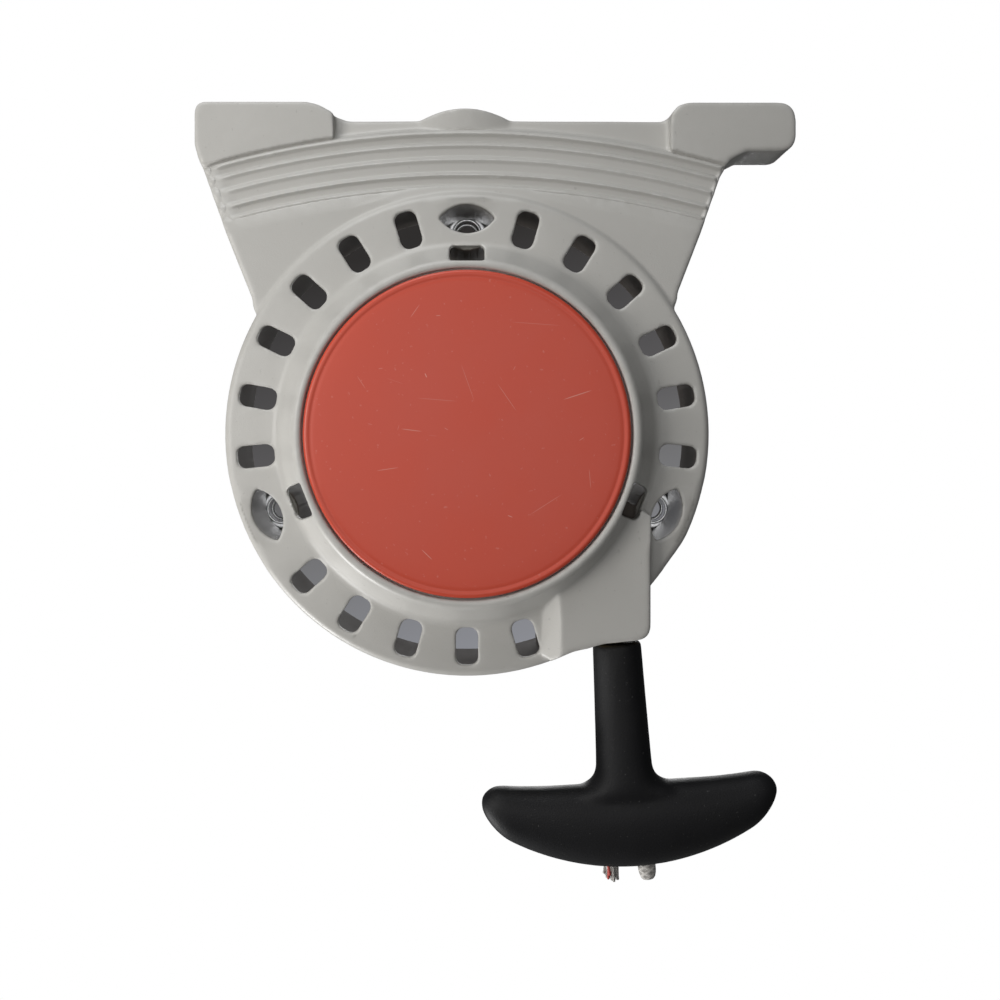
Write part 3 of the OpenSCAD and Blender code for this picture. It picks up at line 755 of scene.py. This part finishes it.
def wrapped_grid(name, rings, lengths=None, close=True):
    """A closed skin over rings of points. lengths gives V for each ring, in braid lengths."""
    rows, steps = len(rings), len(rings[0])
    bpy.ops.object.select_all(action="DESELECT")
    bpy.ops.mesh.primitive_grid_add(x_subdivisions=steps, y_subdivisions=rows - 1, size=2)
    piece = bpy.context.object
    piece.name = name
    flat = np.array([list(ring[i % steps]) for ring in rings for i in range(steps + 1)], float)
    piece.data.vertices.foreach_set("co", flat.ravel())
    chart = piece.data.uv_layers[0]
    chart.name = "braid"
    if lengths is not None:
        uv = np.zeros(len(chart.data) * 2)
        chart.data.foreach_get("uv", uv)
        row = np.rint(uv[1::2] * (rows - 1)).astype(int)
        uv[1::2] = np.array(lengths)[row]
        chart.data.foreach_set("uv", uv)
    select_only(piece)
    bpy.ops.object.mode_set(mode="EDIT")
    bpy.ops.mesh.select_all(action="SELECT")
    bpy.ops.mesh.remove_doubles(threshold=0.000002)
    if close:
        bpy.ops.mesh.select_all(action="DESELECT")
        bpy.ops.mesh.select_non_manifold(extend=False, use_wire=False, use_boundary=True,
                                         use_multi_face=False, use_non_contiguous=False, use_verts=False)
        bpy.ops.mesh.fill_holes(sides=0)
    bpy.ops.mesh.select_all(action="SELECT")
    bpy.ops.mesh.normals_make_consistent(inside=False)
    bpy.ops.object.mode_set(mode="OBJECT")
    settle(piece)
    return piece


def turned(name, profile, steps):
    """A piece turned about the drum's axis from (radius, height) points in bench millimetres."""
    turns = [2 * math.pi * i / steps for i in range(steps)]
    return wrapped_grid(name, [[bench(r * math.cos(t), r * math.sin(t), z) for t in turns]
                               for r, z in profile])


def tube(name, path, radius, steps, lengths=None, ends=0.35):
    """A rope along a path of points. Radius may be a list. The ends are rounded a little."""
    radii = list(radius) if isinstance(radius, (list, tuple)) else [radius] * len(path)
    path = [Vector(p) for p in path]
    if lengths is None:
        lengths, run = [0.0], 0.0
        for a, b in zip(path[:-1], path[1:]):
            run += (b - a).length / BRAID
            lengths.append(run)
    if ends:
        start_way = (path[0] - path[1]).normalized()
        end_way = (path[-1] - path[-2]).normalized()
        first = [path[0] + start_way * radii[0] * ends * share for share in (1, 0.75)]
        last = [path[-1] + end_way * radii[-1] * ends * share for share in (0.75, 1)]
        path = first + path + last
        radii = [radii[0] * 0.35, radii[0] * 0.8] + radii + [radii[-1] * 0.8, radii[-1] * 0.35]
        lengths = ([lengths[0] - 0.1, lengths[0] - 0.06] + list(lengths)
                   + [lengths[-1] + 0.06, lengths[-1] + 0.1])
    side = (path[1] - path[0]).normalized().orthogonal()
    rings = []
    for index, centre in enumerate(path):
        way = (path[min(index + 1, len(path) - 1)] - path[max(index - 1, 0)]).normalized()
        side = (side - way * side.dot(way)).normalized()
        up = way.cross(side)
        rings.append([centre + (side * math.cos(2 * math.pi * i / steps)
                                + up * math.sin(2 * math.pi * i / steps)) * radii[index]
                      for i in range(steps)])
    return wrapped_grid(name, rings, lengths)


print("wrapped grid helpers ready")

# %% [markdown]
# ## Housing
#
# A moulding has no knife edges: every corner is rounded, because plastic can't fill a sharp one. A
# bevel would trip over the many small faces where ribs, slots and drum meet, so the shape is
# remeshed into an even skin and relaxed. Edges near the outline of the head plate and the outlet
# block are relaxed further, because those corners are softer than the slots.
#
# The ribs of the head plate are finer than that skin can hold. So the plate is sunk a little where
# they run, and a slab with its rows laid along the ribs is set into it. The slotted ring is opened
# out by about a millimetre. Last, two masks mark the screw pockets and the walls inside the ring,
# where the finish paints shade.

# %% Soft outlines
HEAD_EDGE = [(-70, 45), (-91.8, 94.2), (-93, 98.6), (-93, 110), (-90, 113.4), (-54.5, 113.4),
             (-45.5, 109.6), (-40.8, 107.9), (67.4, 107.9), (72.2, 112.2), (76, 113.2),
             (106.6, 113.2), (112.2, 107.6), (112.2, 101), (107.3, 96.4), (95.5, 96.4),
             (90, 93.6), (86.2, 87.2), (69, 43)]
BLOCK_EDGE = [(60.6, -40), (60.6, -64), (56.5, -68.2), (38.5, -70.0), (31, -72.4)]


def distance_to_line(points, line):
    """Distance of each (x, y) to an open line of straight stretches."""
    nearest = np.full(len(points), 1e9)
    for a, b in zip(line[:-1], line[1:]):
        a, b = np.array(a, float), np.array(b, float)
        reach = b - a
        t = np.clip(((points - a) @ reach) / (reach @ reach), 0, 1)
        gap = np.linalg.norm(points - (a + t[:, None] * reach), axis=1)
        nearest = np.minimum(nearest, gap)
    return nearest


def weight_group(piece, name, weights):
    """A vertex group from an array of weights."""
    group = piece.vertex_groups.new(name=name)
    for index in np.nonzero(weights > 0.01)[0]:
        group.add([int(index)], float(weights[index]), "REPLACE")
    return name


print("outline points", len(HEAD_EDGE) + len(BLOCK_EDGE))

# %% Rib profile
ARC_Y = -217.5
RIB_STEPS = [(80, 0.0), (82.4, 0.1), (83.2, 0.45), (84.1, -0.75), (86.4, -0.35), (87.4, 0.6),
             (88.9, -0.65), (91.6, -0.1), (93.0, 0.6), (94.5, -0.7), (97.0, -0.1), (98.2, 0.6),
             (99.6, -0.7), (101.4, -0.1), (102.4, 0.75), (103.9, 0.2)]
RIB_SCALE = 1.45
RIB_RADII = np.array([r for r, _ in RIB_STEPS])
RIB_HEIGHTS = np.array([RIB_SCALE * h for _, h in RIB_STEPS])
RIB_GRID, RIB_BLUR = 0.05, 0.22
PLATE_Y, PLATE_Z, PLATE_SLOPE = 78, 35, 0.29


def slope_height(y):
    """Height of the sloping head plate without its ribs."""
    return PLATE_Z - (y - PLATE_Y) * PLATE_SLOPE


def rib_height(reach):
    """Height of the ribs above the slope at a distance from their common centre."""
    fine = np.arange(PLATE_Y, 106, RIB_GRID)
    raw = np.interp(fine, RIB_RADII, RIB_HEIGHTS)
    bell = np.exp(-0.5 * (np.arange(-20, 21) * RIB_GRID / RIB_BLUR) ** 2)
    return np.interp(reach, fine, np.convolve(raw, bell / bell.sum(), mode="same"))


def smooth_step(value, low, high):
    """0 below low, 1 above high, and a smooth rise between them."""
    t = np.clip((value - low) / (high - low), 0, 1)
    return t * t * (3 - 2 * t)


LEFT_SIDE = np.array([(-93, 98.6), (-91.8, 94.2), (-70, 45)])
RIGHT_SIDE = np.array([(90, 93.6), (86.2, 87.2), (69, 43)])
print("ribs at", [r for r, h in RIB_STEPS if h > 0.4])

# %% Housing
HOUSING_VOXEL = 0.00055
HOUSING_FACES = 160000
HOUSING_ROUND = 0.0018
SOFT_TIMES = 8
SLEEVES = [(math.radians(a), 71.9) for a in (90, -22, 202)]
PLATE_SINK = 1.5
BAND_START, BAND_END = (82.4, 83.4), (103.0, 103.8)
SLAB_WIDTH = 176
SLAB_TOE, SLAB_BACK = 24.2, 22.6
RING_OPENING = 1.15
WALL_FADE = (78.9, 79.4)
POCKET_R = 9.9


def move_corners(piece, place):
    """Writes bench millimetres back to the mesh."""
    moved = np.stack([place[:, 0], -place[:, 2], place[:, 1]], axis=1) * MM
    piece.data.vertices.foreach_set("co", moved.ravel())
    piece.data.update()


def press_plate(piece):
    """Sinks the front of the head plate under the ribbed slab."""
    place = corners(piece)
    facing = np.zeros(len(place) * 3)
    piece.data.vertex_normals.foreach_get("vector", facing)
    level = np.hypot(place[:, 0], place[:, 1] - ARC_Y) + ARC_Y
    flat = slope_height(level)
    weight = (smooth_step(distance_to_line(place[:, :2], LEFT_SIDE), 2.2, 3.6)
              * smooth_step(distance_to_line(place[:, :2], RIGHT_SIDE), 0.8, 1.8)
              * smooth_step(level, *BAND_START) * (1 - smooth_step(level, *BAND_END))
              * (facing[1::3] < -0.5) * (np.abs(place[:, 2] - flat) < 2.4))
    place[:, 2] += (flat - PLATE_SINK - place[:, 2]) * weight
    move_corners(piece, place)


def side_points(line, levels):
    """Points of a side of the plate at given distances from the ribs' centre."""
    dense = np.concatenate([np.linspace(a, b, 60) for a, b in zip(line[:-1], line[1:])])
    reach = np.hypot(dense[:, 0], dense[:, 1] - ARC_Y) + ARC_Y
    order = np.argsort(reach)
    return np.stack([np.interp(levels, reach[order], dense[order, axis]) for axis in (0, 1)], axis=1)


def ribbed_slab():
    """A closed slab sunk in the plate, with rows along the ribs and a clean ribbed front."""
    levels = np.concatenate([np.arange(81.6, 103.8, 0.22), np.arange(103.8, 105.8, 0.2)])
    left, right = side_points(LEFT_SIDE, levels), side_points(RIGHT_SIDE, levels)
    turn_left = np.arctan2(left[:, 0], left[:, 1] - ARC_Y)
    turn_right = np.arctan2(right[:, 0], right[:, 1] - ARC_Y)
    near = np.arange(0.2, 5.0, 0.4)
    rings = []
    middle = np.linspace(5, SLAB_WIDTH - 5, 110)
    for place in np.concatenate([near, middle, SLAB_WIDTH - near[::-1]]):
        share = place / SLAB_WIDTH
        turn = turn_left + (turn_right - turn_left) * share
        reach = levels - ARC_Y
        from_left = (turn - turn_left) * reach * 0.92
        from_right = (turn_right - turn) * reach * 0.93
        fade = smooth_step(from_left, 1.8, 6.5) * smooth_step(from_right, 0.5, 1.6)
        sink = (1 - smooth_step(from_left, 1.2, 2.4) * smooth_step(from_right, 0.2, 1.0)
                * smooth_step(levels, 81.8, 82.5))
        front = slope_height(levels) + rib_height(levels) * fade - 0.5 * sink
        drop = smooth_step(levels, 103.4, 105.5)
        front = front * (1 - drop) + SLAB_TOE * drop
        x, y = reach * np.sin(turn), reach * np.cos(turn) + ARC_Y
        ring = [bench(*point) for point in zip(x, y, front)]
        back = [bench(x[i], y[i], min(slope_height(levels[i]) - 2.3, SLAB_BACK))
                for i in range(len(levels) - 1, -1, -6)]
        rings.append(ring + back)
    return wrapped_grid("ribbed_slab", rings)


def open_ring(piece):
    """Opens the slotted ring out by a millimetre, except close to the screw pockets."""
    place = corners(piece)
    reach = np.hypot(place[:, 0], place[:, 1])
    turn = np.degrees(np.arctan2(place[:, 1], place[:, 0]))
    near = np.zeros(len(place))
    for angle, _ in SLEEVES:
        away = np.abs((turn - math.degrees(angle) + 180) % 360 - 180)
        near = np.maximum(near, 1 - smooth_step(away, 8.5, 12.5))
    amount = smooth_step(reach, 60, 69) * (1 - near * (1 - smooth_step(reach, 77.0, 80.6)))
    amount *= 1 - smooth_step(reach, 82, 86) * (place[:, 1] > 0)
    block = smooth_step(place[:, 0], 38, 46) * (place[:, 1] < 0) * (1 - smooth_step(turn, -34, -24))
    amount *= 1 - block
    place[:, :2] *= 1 + (RING_OPENING * amount / np.maximum(reach, 1))[:, None]
    move_corners(piece, place)


def mark_inside(piece):
    """Marks the walls inside the ring, which the finish paints dark brown as shade."""
    place = corners(piece)
    reach = np.hypot(place[:, 0], place[:, 1])
    amount = (smooth_step(36.2 - place[:, 2], 0, 1.4) * (1 - smooth_step(reach, *WALL_FADE))
              * (reach > 56))
    pocket_gloss_and_shade = np.zeros(len(place))
    piece.data.attributes["pocket_gloss_and_shade"].data.foreach_get("value", pocket_gloss_and_shade)
    layer = piece.data.attributes.new("inside_shade", "FLOAT", "POINT")
    layer.data.foreach_set("value", amount * (1 - pocket_gloss_and_shade))


def mark_pocket_walls(piece):
    """Marks the steel-smooth walls of the screw pockets, which the finish makes glossier and paints
    darker as shade.
    """
    place = corners(piece)
    amount = np.zeros(len(place))
    for turn, reach in SLEEVES:
        gap = np.hypot(place[:, 0] - reach * math.cos(turn), place[:, 1] - reach * math.sin(turn))
        amount = np.maximum(amount, (gap < POCKET_R) * smooth_step(37.4 - place[:, 2], 0.0, 1.2)
                            * (place[:, 2] > 6.5)
                            * (np.hypot(place[:, 0], place[:, 1]) < WALL_FADE[1]))
    layer = piece.data.attributes.new("pocket_gloss_and_shade", "FLOAT", "POINT")
    layer.data.foreach_set("value", amount)


MOULDING = ["fan_housing", "rim_skirt", "head_plate", "fixing_boss_top", "fixing_boss_left",
            "fixing_boss_right"]


def make_housing():
    """The whole moulding as one rounded skin, with its ribs, its opened ring and its masks."""
    piece = join(*[merged_copy(node, "starter_housing") for node in MOULDING])
    add_modifier(piece, "REMESH", mode="VOXEL", voxel_size=HOUSING_VOXEL, use_smooth_shade=True)
    place = corners(piece)
    near_head = distance_to_line(place[:, :2], HEAD_EDGE)
    near_block = distance_to_line(place[:, :2], BLOCK_EDGE)
    outside = np.hypot(place[:, 0], place[:, 1]) > 79.5
    rim = np.clip(1.35 - near_head / 3.2, 0, 1) * outside * (place[:, 2] > 12)
    lip = np.clip(1.35 - near_block / 3.5, 0, 1) * (place[:, 2] > 33)
    weight_group(piece, "soft_rim", np.maximum(rim, lip))
    rounds = round(HOUSING_ROUND / HOUSING_VOXEL)
    add_modifier(piece, "SMOOTH", factor=0.5, iterations=rounds)
    add_modifier(piece, "SMOOTH", factor=0.5, iterations=rounds * SOFT_TIMES,
                 vertex_group="soft_rim")
    press_plate(piece)
    open_ring(piece)
    limit_faces(piece, HOUSING_FACES)
    piece.vertex_groups.clear()
    join(piece, ribbed_slab())
    mark_pocket_walls(piece)
    mark_inside(piece)
    smooth_all(piece)
    finish_piece(piece, GREY, "housing", "housing_grey", *MOULDING)
    return piece


housing = make_housing()
print("housing has", len(housing.data.polygons), "faces")

# %% [markdown]
# ## Front disc
#
# The disc sits in its pocket with a thin dark gap all round. Its rim is rounded over, then dips into
# a faint groove before the flat face, which bulges by a few tenths of a millimetre.

# %% Front disc
DISC_PROFILE = [(30, 47.4), (52.4, 47.4), (53.1, 47.9), (53.15, 49.1), (53.05, 49.7), (52.75, 50.15),
                (52.3, 50.4), (51.75, 50.45), (51.3, 50.36), (50.95, 50.22), (50.6, 50.2), (50.2, 50.28),
                (49.2, 50.34), (44, 50.38), (36, 50.42), (26, 50.45), (16, 50.48), (7, 50.5), (2, 50.5)]
disc = turned("front_disc", DISC_PROFILE, 192)
bpy.ops.object.select_all(action="DESELECT")
pegs = []
for turn in (30, 150, 270):
    spot = bench(40 * math.cos(math.radians(turn)), 40 * math.sin(math.radians(turn)), 45.8)
    bpy.ops.mesh.primitive_cylinder_add(vertices=32, radius=2 * MM, depth=3.2 * MM, location=spot,
                                        rotation=(math.radians(90), 0, 0))
    pegs.append(bpy.context.object)
join(disc, *pegs)
settle(disc)
smooth_by_angle(disc, 40)
finish_piece(disc, RED, "housing", "cap_red", "front_cap")
print("disc has", len(disc.data.polygons), "faces")

# %% [markdown]
# ## Metal and nylon parts
#
# These parts come off a press, a lathe or a mould with their edges broken. Each is a copy of the
# frame part with its flat faces dissolved and its sharp edges bevelled by a few tenths of a
# millimetre. The axle, the washers and the eyelet are lathe work, the rotor is moulded nylon, and the
# pawls are sintered. The three screw sleeves are not copies: each is turned from a profile of its
# own, with a fine groove in its rim.


# %% Softened copies
def softened(node, name, material, body, slot, width):
    """A copy of a frame part with broken edges."""
    piece = merged_copy(node, name)
    bpy.ops.object.mode_set(mode="EDIT")
    bpy.ops.mesh.select_all(action="SELECT")
    bpy.ops.mesh.dissolve_limited(angle_limit=math.radians(0.5))
    bpy.ops.object.mode_set(mode="OBJECT")
    add_modifier(piece, "BEVEL", width=width * MM, segments=2, limit_method="ANGLE",
                 angle_limit=math.radians(32), use_clamp_overlap=True, miter_outer="MITER_ARC")
    add_modifier(piece, "TRIANGULATE")
    smooth_by_angle(piece, 34)
    finish_piece(piece, material, body, slot, node)
    return piece


METAL_PARTS = [
    ("rotor_axle", "rotor_axle_pin", GROUND, "housing", "axle_steel", 0.25),
    ("axle_washer", "axle_end_washer", ZINC, "housing", "zinc_steel", 0.2),
    ("axle_screw", "axle_end_screw", ZINC, "housing", "zinc_steel", 0.3),
    ("spring_case_cover", "spring_cover_plate", PRESSED, "housing", "pressed_steel", 0.15),
    ("spring_case", "spring_case_cup", PRESSED, "housing", "pressed_steel", 0.25),
    ("rope_bushing", "rope_eyelet", BRASS, "housing", "brass_eyelet", 0.2),
    ("rope_rotor", "rope_pulley", ROTOR_BLACK, "rotor", "rotor_black", 0.3),
    ("ratchet_guide", "pawl_guide_plate", PRESSED, "rotor", "pressed_steel", 0.2),
    ("pawl_a", "starter_pawl_right", SINTERED, "starter_pawl_a", "pawl_steel", 0.4),
    ("pawl_b", "starter_pawl_left", SINTERED, "starter_pawl_b", "pawl_steel", 0.4),
    ("pawl_pin_a", "pawl_pin_right", GROUND, "rotor", "axle_steel", 0.3),
    ("pawl_pin_b", "pawl_pin_left", GROUND, "rotor", "axle_steel", 0.3),
    ("knot_washer", "knot_plate", ZINC, "grip", "zinc_steel", 0.2),
]
for part in METAL_PARTS:
    made = softened(*part)
    print(made.name, len(made.data.polygons))

# %% Screw sleeves
SLEEVE_STEPS = 96
SLEEVE_PROFILE = [(3.25, 0.1), (7.55, 0.1), (7.7, 0.25), (7.7, 6.5), (7.62, 6.8), (7.4, 6.95),
                  (6.0, 7.0), (5.55, 6.98), (5.47, 6.86), (5.3, 6.86), (5.2, 6.98), (4.7, 7.0),
                  (4.45, 6.93), (4.3, 6.7), (4.25, 6.2), (4.2, 1.5), (4.1, 1.2), (3.5, 1.1),
                  (3.25, 0.85)]
for side, (turn, reach) in zip(("top", "right", "left"), SLEEVES):
    x, y = reach * math.cos(turn), reach * math.sin(turn)
    rings = []
    for step in range(SLEEVE_STEPS):
        a = 2 * math.pi * step / SLEEVE_STEPS
        rings.append([bench(x + r * math.cos(a), y + r * math.sin(a), z) for r, z in SLEEVE_PROFILE])
    sleeve = wrapped_grid("screw_sleeve_" + side, rings + rings[:1], close=False)
    smooth_by_angle(sleeve, 50)
    finish_piece(sleeve, SLEEVE_ZINC_LIT, "housing", "zinc_steel", "mount_sleeve_" + side)
    print(sleeve.name, len(sleeve.data.polygons))

# %% [markdown]
# The rewind spring, the little torsion coils, the wire ring and the case screws already have their
# true shape, so they keep it and get a finish.

# %% Refinished frame parts
for node, finish in (("rewind_spring", BLUED), ("friction_spring", GROUND), ("pawl_springs", GROUND),
                     ("case_screws", ZINC)):
    for place in NODES[node].material_slots:
        place.material = finish
    print(node, finish.name)

# %% [markdown]
# ## Pull grip
#
# The grip is one thick moulding. Its stem is a little wider at the bottom, runs out into the bar
# through a large fillet, and the bar is a crescent: straight along the top, curved below, thinner at
# its rounded tips. Stem and bar are two lofted skins. They are fused by a remesh and relaxed, the
# slot for the knot is cut, and a second remesh rounds the edges of the slot.


# %% Pull grip
GRIP_FACES = 90000
FUSE_ROUND, SLOT_ROUND = 0.0062, 0.0018


def oval(centre_v, centre_u, half_v, half_u, half_w, steps, power, lengthways):
    """Ring of a squarish oval across the stem, or across the bar."""
    ring = []
    for i in range(steps):
        turn = 2 * math.pi * i / steps
        c, s = math.cos(turn), math.sin(turn)
        c = math.copysign(abs(c) ** (2 / power), c)
        s = math.copysign(abs(s) ** (2 / power), s)
        if lengthways:
            ring.append(on_pull(centre_v, half_w * s, centre_u + half_u * c))
        else:
            ring.append(on_pull(centre_v + half_v * c, half_w * s, centre_u))
    return ring


STEM = [(2.3, 5.0, 5.0), (2.32, 7.2, 7.2), (2.5, 7.9, 7.9), (3.0, 8.25, 8.2), (5.2, 8.3, 8.3),
        (20, 8.7, 8.7), (40, 9.35, 9.3), (45.5, 9.6, 9.4), (48.2, 10.5, 9.5), (50.0, 12.2, 9.5),
        (51.3, 14.6, 9.4), (52.4, 18.0, 9.2), (53.4, 22.5, 8.8), (56, 25, 8.4), (62, 20, 8), (66, 8, 6)]


def bar_rings(steps):
    """Rings across the bar, from its left tip to its right tip."""
    rings = []
    for v in [x * 0.5 for x in range(-101, 102, 2)]:
        away = abs(v)
        t = min(1.0, max(0.0, (away - 41.5) / 9.2))
        close = math.sqrt(max(0.0, 1 - t ** 2.3))
        top = 51.0 - 1.4 * max(0.0, (away - 24) / 22) ** 2 if away < 46 else 49.6
        low = -4.7 + math.sqrt(84 ** 2 - v * v)
        middle = (top + low) / 2 - t * 0.6
        half = (low - top) / 2 * close
        depth = 10 - 3.0 * (away / 50) ** 1.6
        if t:
            depth *= 0.25 + 0.75 * close
        if t >= 0.98:
            depth *= 0.6
        rings.append(oval(v + 1.0, middle, 0, max(half, 0.6), depth, steps, 2.35, True))
    return rings


def make_grip():
    """Stem and bar fused into one skin, with the rope's bore and the slot for the knot."""
    coarse, fine = ((0.0008, 0.0006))
    grip = wrapped_grid("t_grip", [oval(0, u, a, 0, b, 48, 2.25, False) for u, a, b in STEM])
    bar = wrapped_grid("grip_bar", bar_rings(48))
    join(grip, bar)
    add_modifier(grip, "REMESH", mode="VOXEL", voxel_size=coarse)
    add_modifier(grip, "SMOOTH", factor=0.5, iterations=round(FUSE_ROUND / coarse))
    tilt = (0, -PULL_TILT, 0)
    cutters = []
    bpy.ops.object.select_all(action="DESELECT")
    for sides, radius, depth, u in ((40, 2.55, 80, 35), (64, 7.6, 10, 66)):
        bpy.ops.mesh.primitive_cylinder_add(vertices=sides, radius=radius * MM, depth=depth * MM,
                                            location=on_pull(0, 0, u), rotation=tilt)
        cutters.append(bpy.context.object)
    bpy.ops.mesh.primitive_cube_add(size=1, location=on_pull(0, 0, 78), rotation=tilt)
    bpy.context.object.scale = (19 * MM, 6.8 * MM, 30 * MM)
    cutters.append(bpy.context.object)
    for cutter in cutters:
        settle(cutter)
        add_modifier(grip, "BOOLEAN", operation="DIFFERENCE", object=cutter, solver="EXACT")
        bpy.data.objects.remove(cutter)
    add_modifier(grip, "REMESH", mode="VOXEL", voxel_size=fine)
    add_modifier(grip, "SMOOTH", factor=0.5, iterations=round(SLOT_ROUND / fine))
    limit_faces(grip, GRIP_FACES)
    smooth_all(grip)
    finish_piece(grip, GRIP_BLACK, "grip", "grip_black", "pull_grip")
    return grip


grip = make_grip()
print("grip has", len(grip.data.polygons), "faces")

# %% [markdown]
# ## Rope
#
# One braided rope, 4.5 mm thick, goes from a knot in the rotor round two layers of turns, straight to
# the eyelet, down through the grip, through a knot and out as two short tails. It is made in
# stretches, because they belong to different moving parts. Along the stretch at the eyelet, the V
# coordinate is packed tight, so that it would give the right braid length with the rope drawn out by
# a full pull.

# %% Rope on the rotor
ROPE_R = 2.25 * MM
INNER_R, OUTER_R = 41.27, 45.17
PULL_REACH = 0.8


def winding_path():
    """Two turns on the hub and two over them, with a step across after each."""
    stations = [(INNER_R, 22.95), (INNER_R, 27.55), (OUTER_R, 27.55), (OUTER_R, 22.95)]
    path = []
    for turn, (radius, height) in enumerate(stations):
        after = stations[turn + 1] if turn < 3 else (radius, height)
        for degrees in range(0, 360, 5):
            t = float(smooth_step(degrees, 300, 358))
            r = radius + (after[0] - radius) * t
            z = height + (after[1] - height) * t
            angle = math.radians(105 - degrees)
            path.append(bench(r * math.cos(angle), r * math.sin(angle), z))
    return path


winding = tube("rope_turns", winding_path(), ROPE_R, 16)
smooth_all(winding)
finish_piece(winding, ROPE, "rotor", "rope_white", "rope_winding")
print("winding has", len(winding.data.polygons), "faces")


# %% Knots
def knot_path(centre, across, over, along, size, height):
    """The path of an overhand knot about a centre, with its plane set by three directions."""
    path = []
    for i in range(97):
        t = 2 * math.pi * i / 96
        x = (math.sin(t) + 2 * math.sin(2 * t)) / 3 * size
        y = (math.cos(t) - 2 * math.cos(2 * t)) / 3 * size
        z = -math.sin(3 * t) * height
        path.append(centre + across * x + over * y + along * z)
    return path


face_on = Vector((0, -1, 0))
seat = bench(32 * math.cos(math.radians(105)), 32 * math.sin(math.radians(105)), 28.6)
small_knot = tube("rotor_end_knot", knot_path(seat, Vector((1, 0, 0)), Vector((0, 0, 1)), face_on,
                                              1.7 * MM, 0.8 * MM), 1.0 * MM, 10, ends=0)
big_knot = tube("grip_end_knot", knot_path(on_pull(0, 0, 66.8), PULL_SIDE, face_on, PULL_AXIS,
                                           4.2 * MM, 2.0 * MM), 1.9 * MM, 14, ends=0)
for knot, body, node in ((small_knot, "rotor", "rotor_rope_knot"), (big_knot, "grip", "grip_knot")):
    smooth_all(knot)
    finish_piece(knot, ROPE, body, "rope_white", node)
    print(knot.name, len(knot.data.polygons))

# %% Straight stretches
OUTLET_FAR = math.hypot(OUTLET[0], OUTLET[1])
RUN_TILT = math.acos(OUTER_R / OUTLET_FAR) - math.atan2(-OUTLET[1], OUTLET[0])
RUN_LENGTH = math.sqrt(OUTLET_FAR ** 2 - OUTER_R ** 2)
RUN_AXIS = Vector((math.sin(RUN_TILT), 0, -math.cos(RUN_TILT)))
RUN_START, RUN_CUT = 22.8, 26.6
run_path = [bench(*OUTLET)
            + RUN_AXIS * (-RUN_LENGTH + RUN_START + (RUN_LENGTH - RUN_CUT) * i / 24) * MM
            for i in range(25)]
run = tube("rope_to_eyelet", run_path, ROPE_R * 0.99, 16)
smooth_all(run)
finish_piece(run, ROPE, "housing", "rope_white", "rope_run")

DRAW_START, DRAW_END = -2.0, 2.0
LEAD_BELOW = 65.2
lead_us = ([-2.4] + [DRAW_START + (DRAW_END - DRAW_START) * i / 40 for i in range(41)]
           + [DRAW_END + LEAD_BELOW * i / 30 for i in range(1, 31)])
lead_lengths = []
for u in lead_us:
    w = float(smooth_step(u, DRAW_START, DRAW_END))
    lead_lengths.append((u * MM + w * PULL_REACH) / BRAID)
lead = tube("rope_pull_stretch", [on_pull(0, 0, u) for u in lead_us], ROPE_R * 0.98, 16,
            lengths=lead_lengths, ends=0)
smooth_all(lead)
lead.data.materials.clear()
lead.data.materials.append(ROPE)
lead.data.name = lead.name
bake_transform(lead)
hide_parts("rope_lead")
print("rope run and stretch made; run tilt", round(math.degrees(RUN_TILT), 2))

# %% [markdown]
# ## Rope tails
#
# Below the grip hang the two cut ends. The right one has been melted into a smooth round stub. The
# left one has opened into a tuft of fine filaments, with a few of the red tracer among them.


# %% Rope tails
def tail_path(v, first, last, lean, count=14):
    """Points down a tail that hangs at v from u = first to last, and leans sideways."""
    return [on_pull(v + lean * (i / (count - 1)) ** 2, 0, first + (last - first) * i / (count - 1))
            for i in range(count)]


stub_radii = [2.5, 2.5, 2.5, 2.55, 2.6, 2.7, 2.8, 2.9, 3.0, 3.05, 3.05, 3.0, 2.85, 2.5]
stub = tube("rope_tail_melted", tail_path(5.4, 69.4, 83.5, 0.6), [r * MM for r in stub_radii], 20)
smooth_all(stub)
finish_piece(stub, ROPE_END, "grip", "rope_white", "rope_tail_loop")

open_radii = [2.3, 2.3, 2.3, 2.35, 2.4, 2.5, 2.6, 2.7, 2.7, 2.6, 2.4, 2.2, 1.9, 1.4]
core = tube("rope_tail_frayed", tail_path(-6.2, 69.4, 81.4, -0.6), [r * MM for r in open_radii], 20)
draw = random.Random(11)
FILAMENTS = 58
TUFT_V, TUFT_U = -6.6, 77.5
white_ends, red_ends = [], []
for number in range(FILAMENTS):
    turn = draw.uniform(0, 2 * math.pi)
    spread = math.sqrt(draw.random())
    root_v, root_w = 2.3 * spread * math.cos(turn), 2.3 * spread * math.sin(turn)
    tip = draw.uniform(81.8, 83.6) + 0.35 * root_v
    out = draw.uniform(0.8, 1.15)
    bend = draw.uniform(-0.5, 0.5)
    fibre = [on_pull(TUFT_V + root_v * (1 + (out - 1) * k) + bend * k * k,
                     root_w * (1 + (out - 1) * k), TUFT_U + (tip - TUFT_U) * k)
             for k in (0, 0.25, 0.5, 0.75, 1.0)]
    strand = tube("filament", fibre, draw.uniform(0.3, 0.5) * MM, 6, ends=0.5)
    (red_ends if root_v < -0.3 and root_w > 0.2 and number % 2 else white_ends).append(strand)
join(core, *white_ends)
smooth_all(core)
finish_piece(core, ROPE_END, "grip", "rope_white", "rope_tail_cut_end")

TRACER, red_tree, red_shader, red_place = new_finish("tracer_red")
red_tone = mix_colour(red_tree, noise(red_tree, red_place, 900, 3),
                      (0.34, 0.03, 0.025), (0.58, 0.10, 0.08))
wire(red_tree, red_tone, red_shader.inputs["Base Color"])
red_shader.inputs["Roughness"].default_value = 0.7
tracer_yarn = join(*red_ends)
tracer_yarn.name = "rope_tail_tracer"
smooth_all(tracer_yarn)
finish_piece(tracer_yarn, TRACER, "grip", "rope_white")
print("tails made; filaments", len(white_ends), "and", len(red_ends), "red")
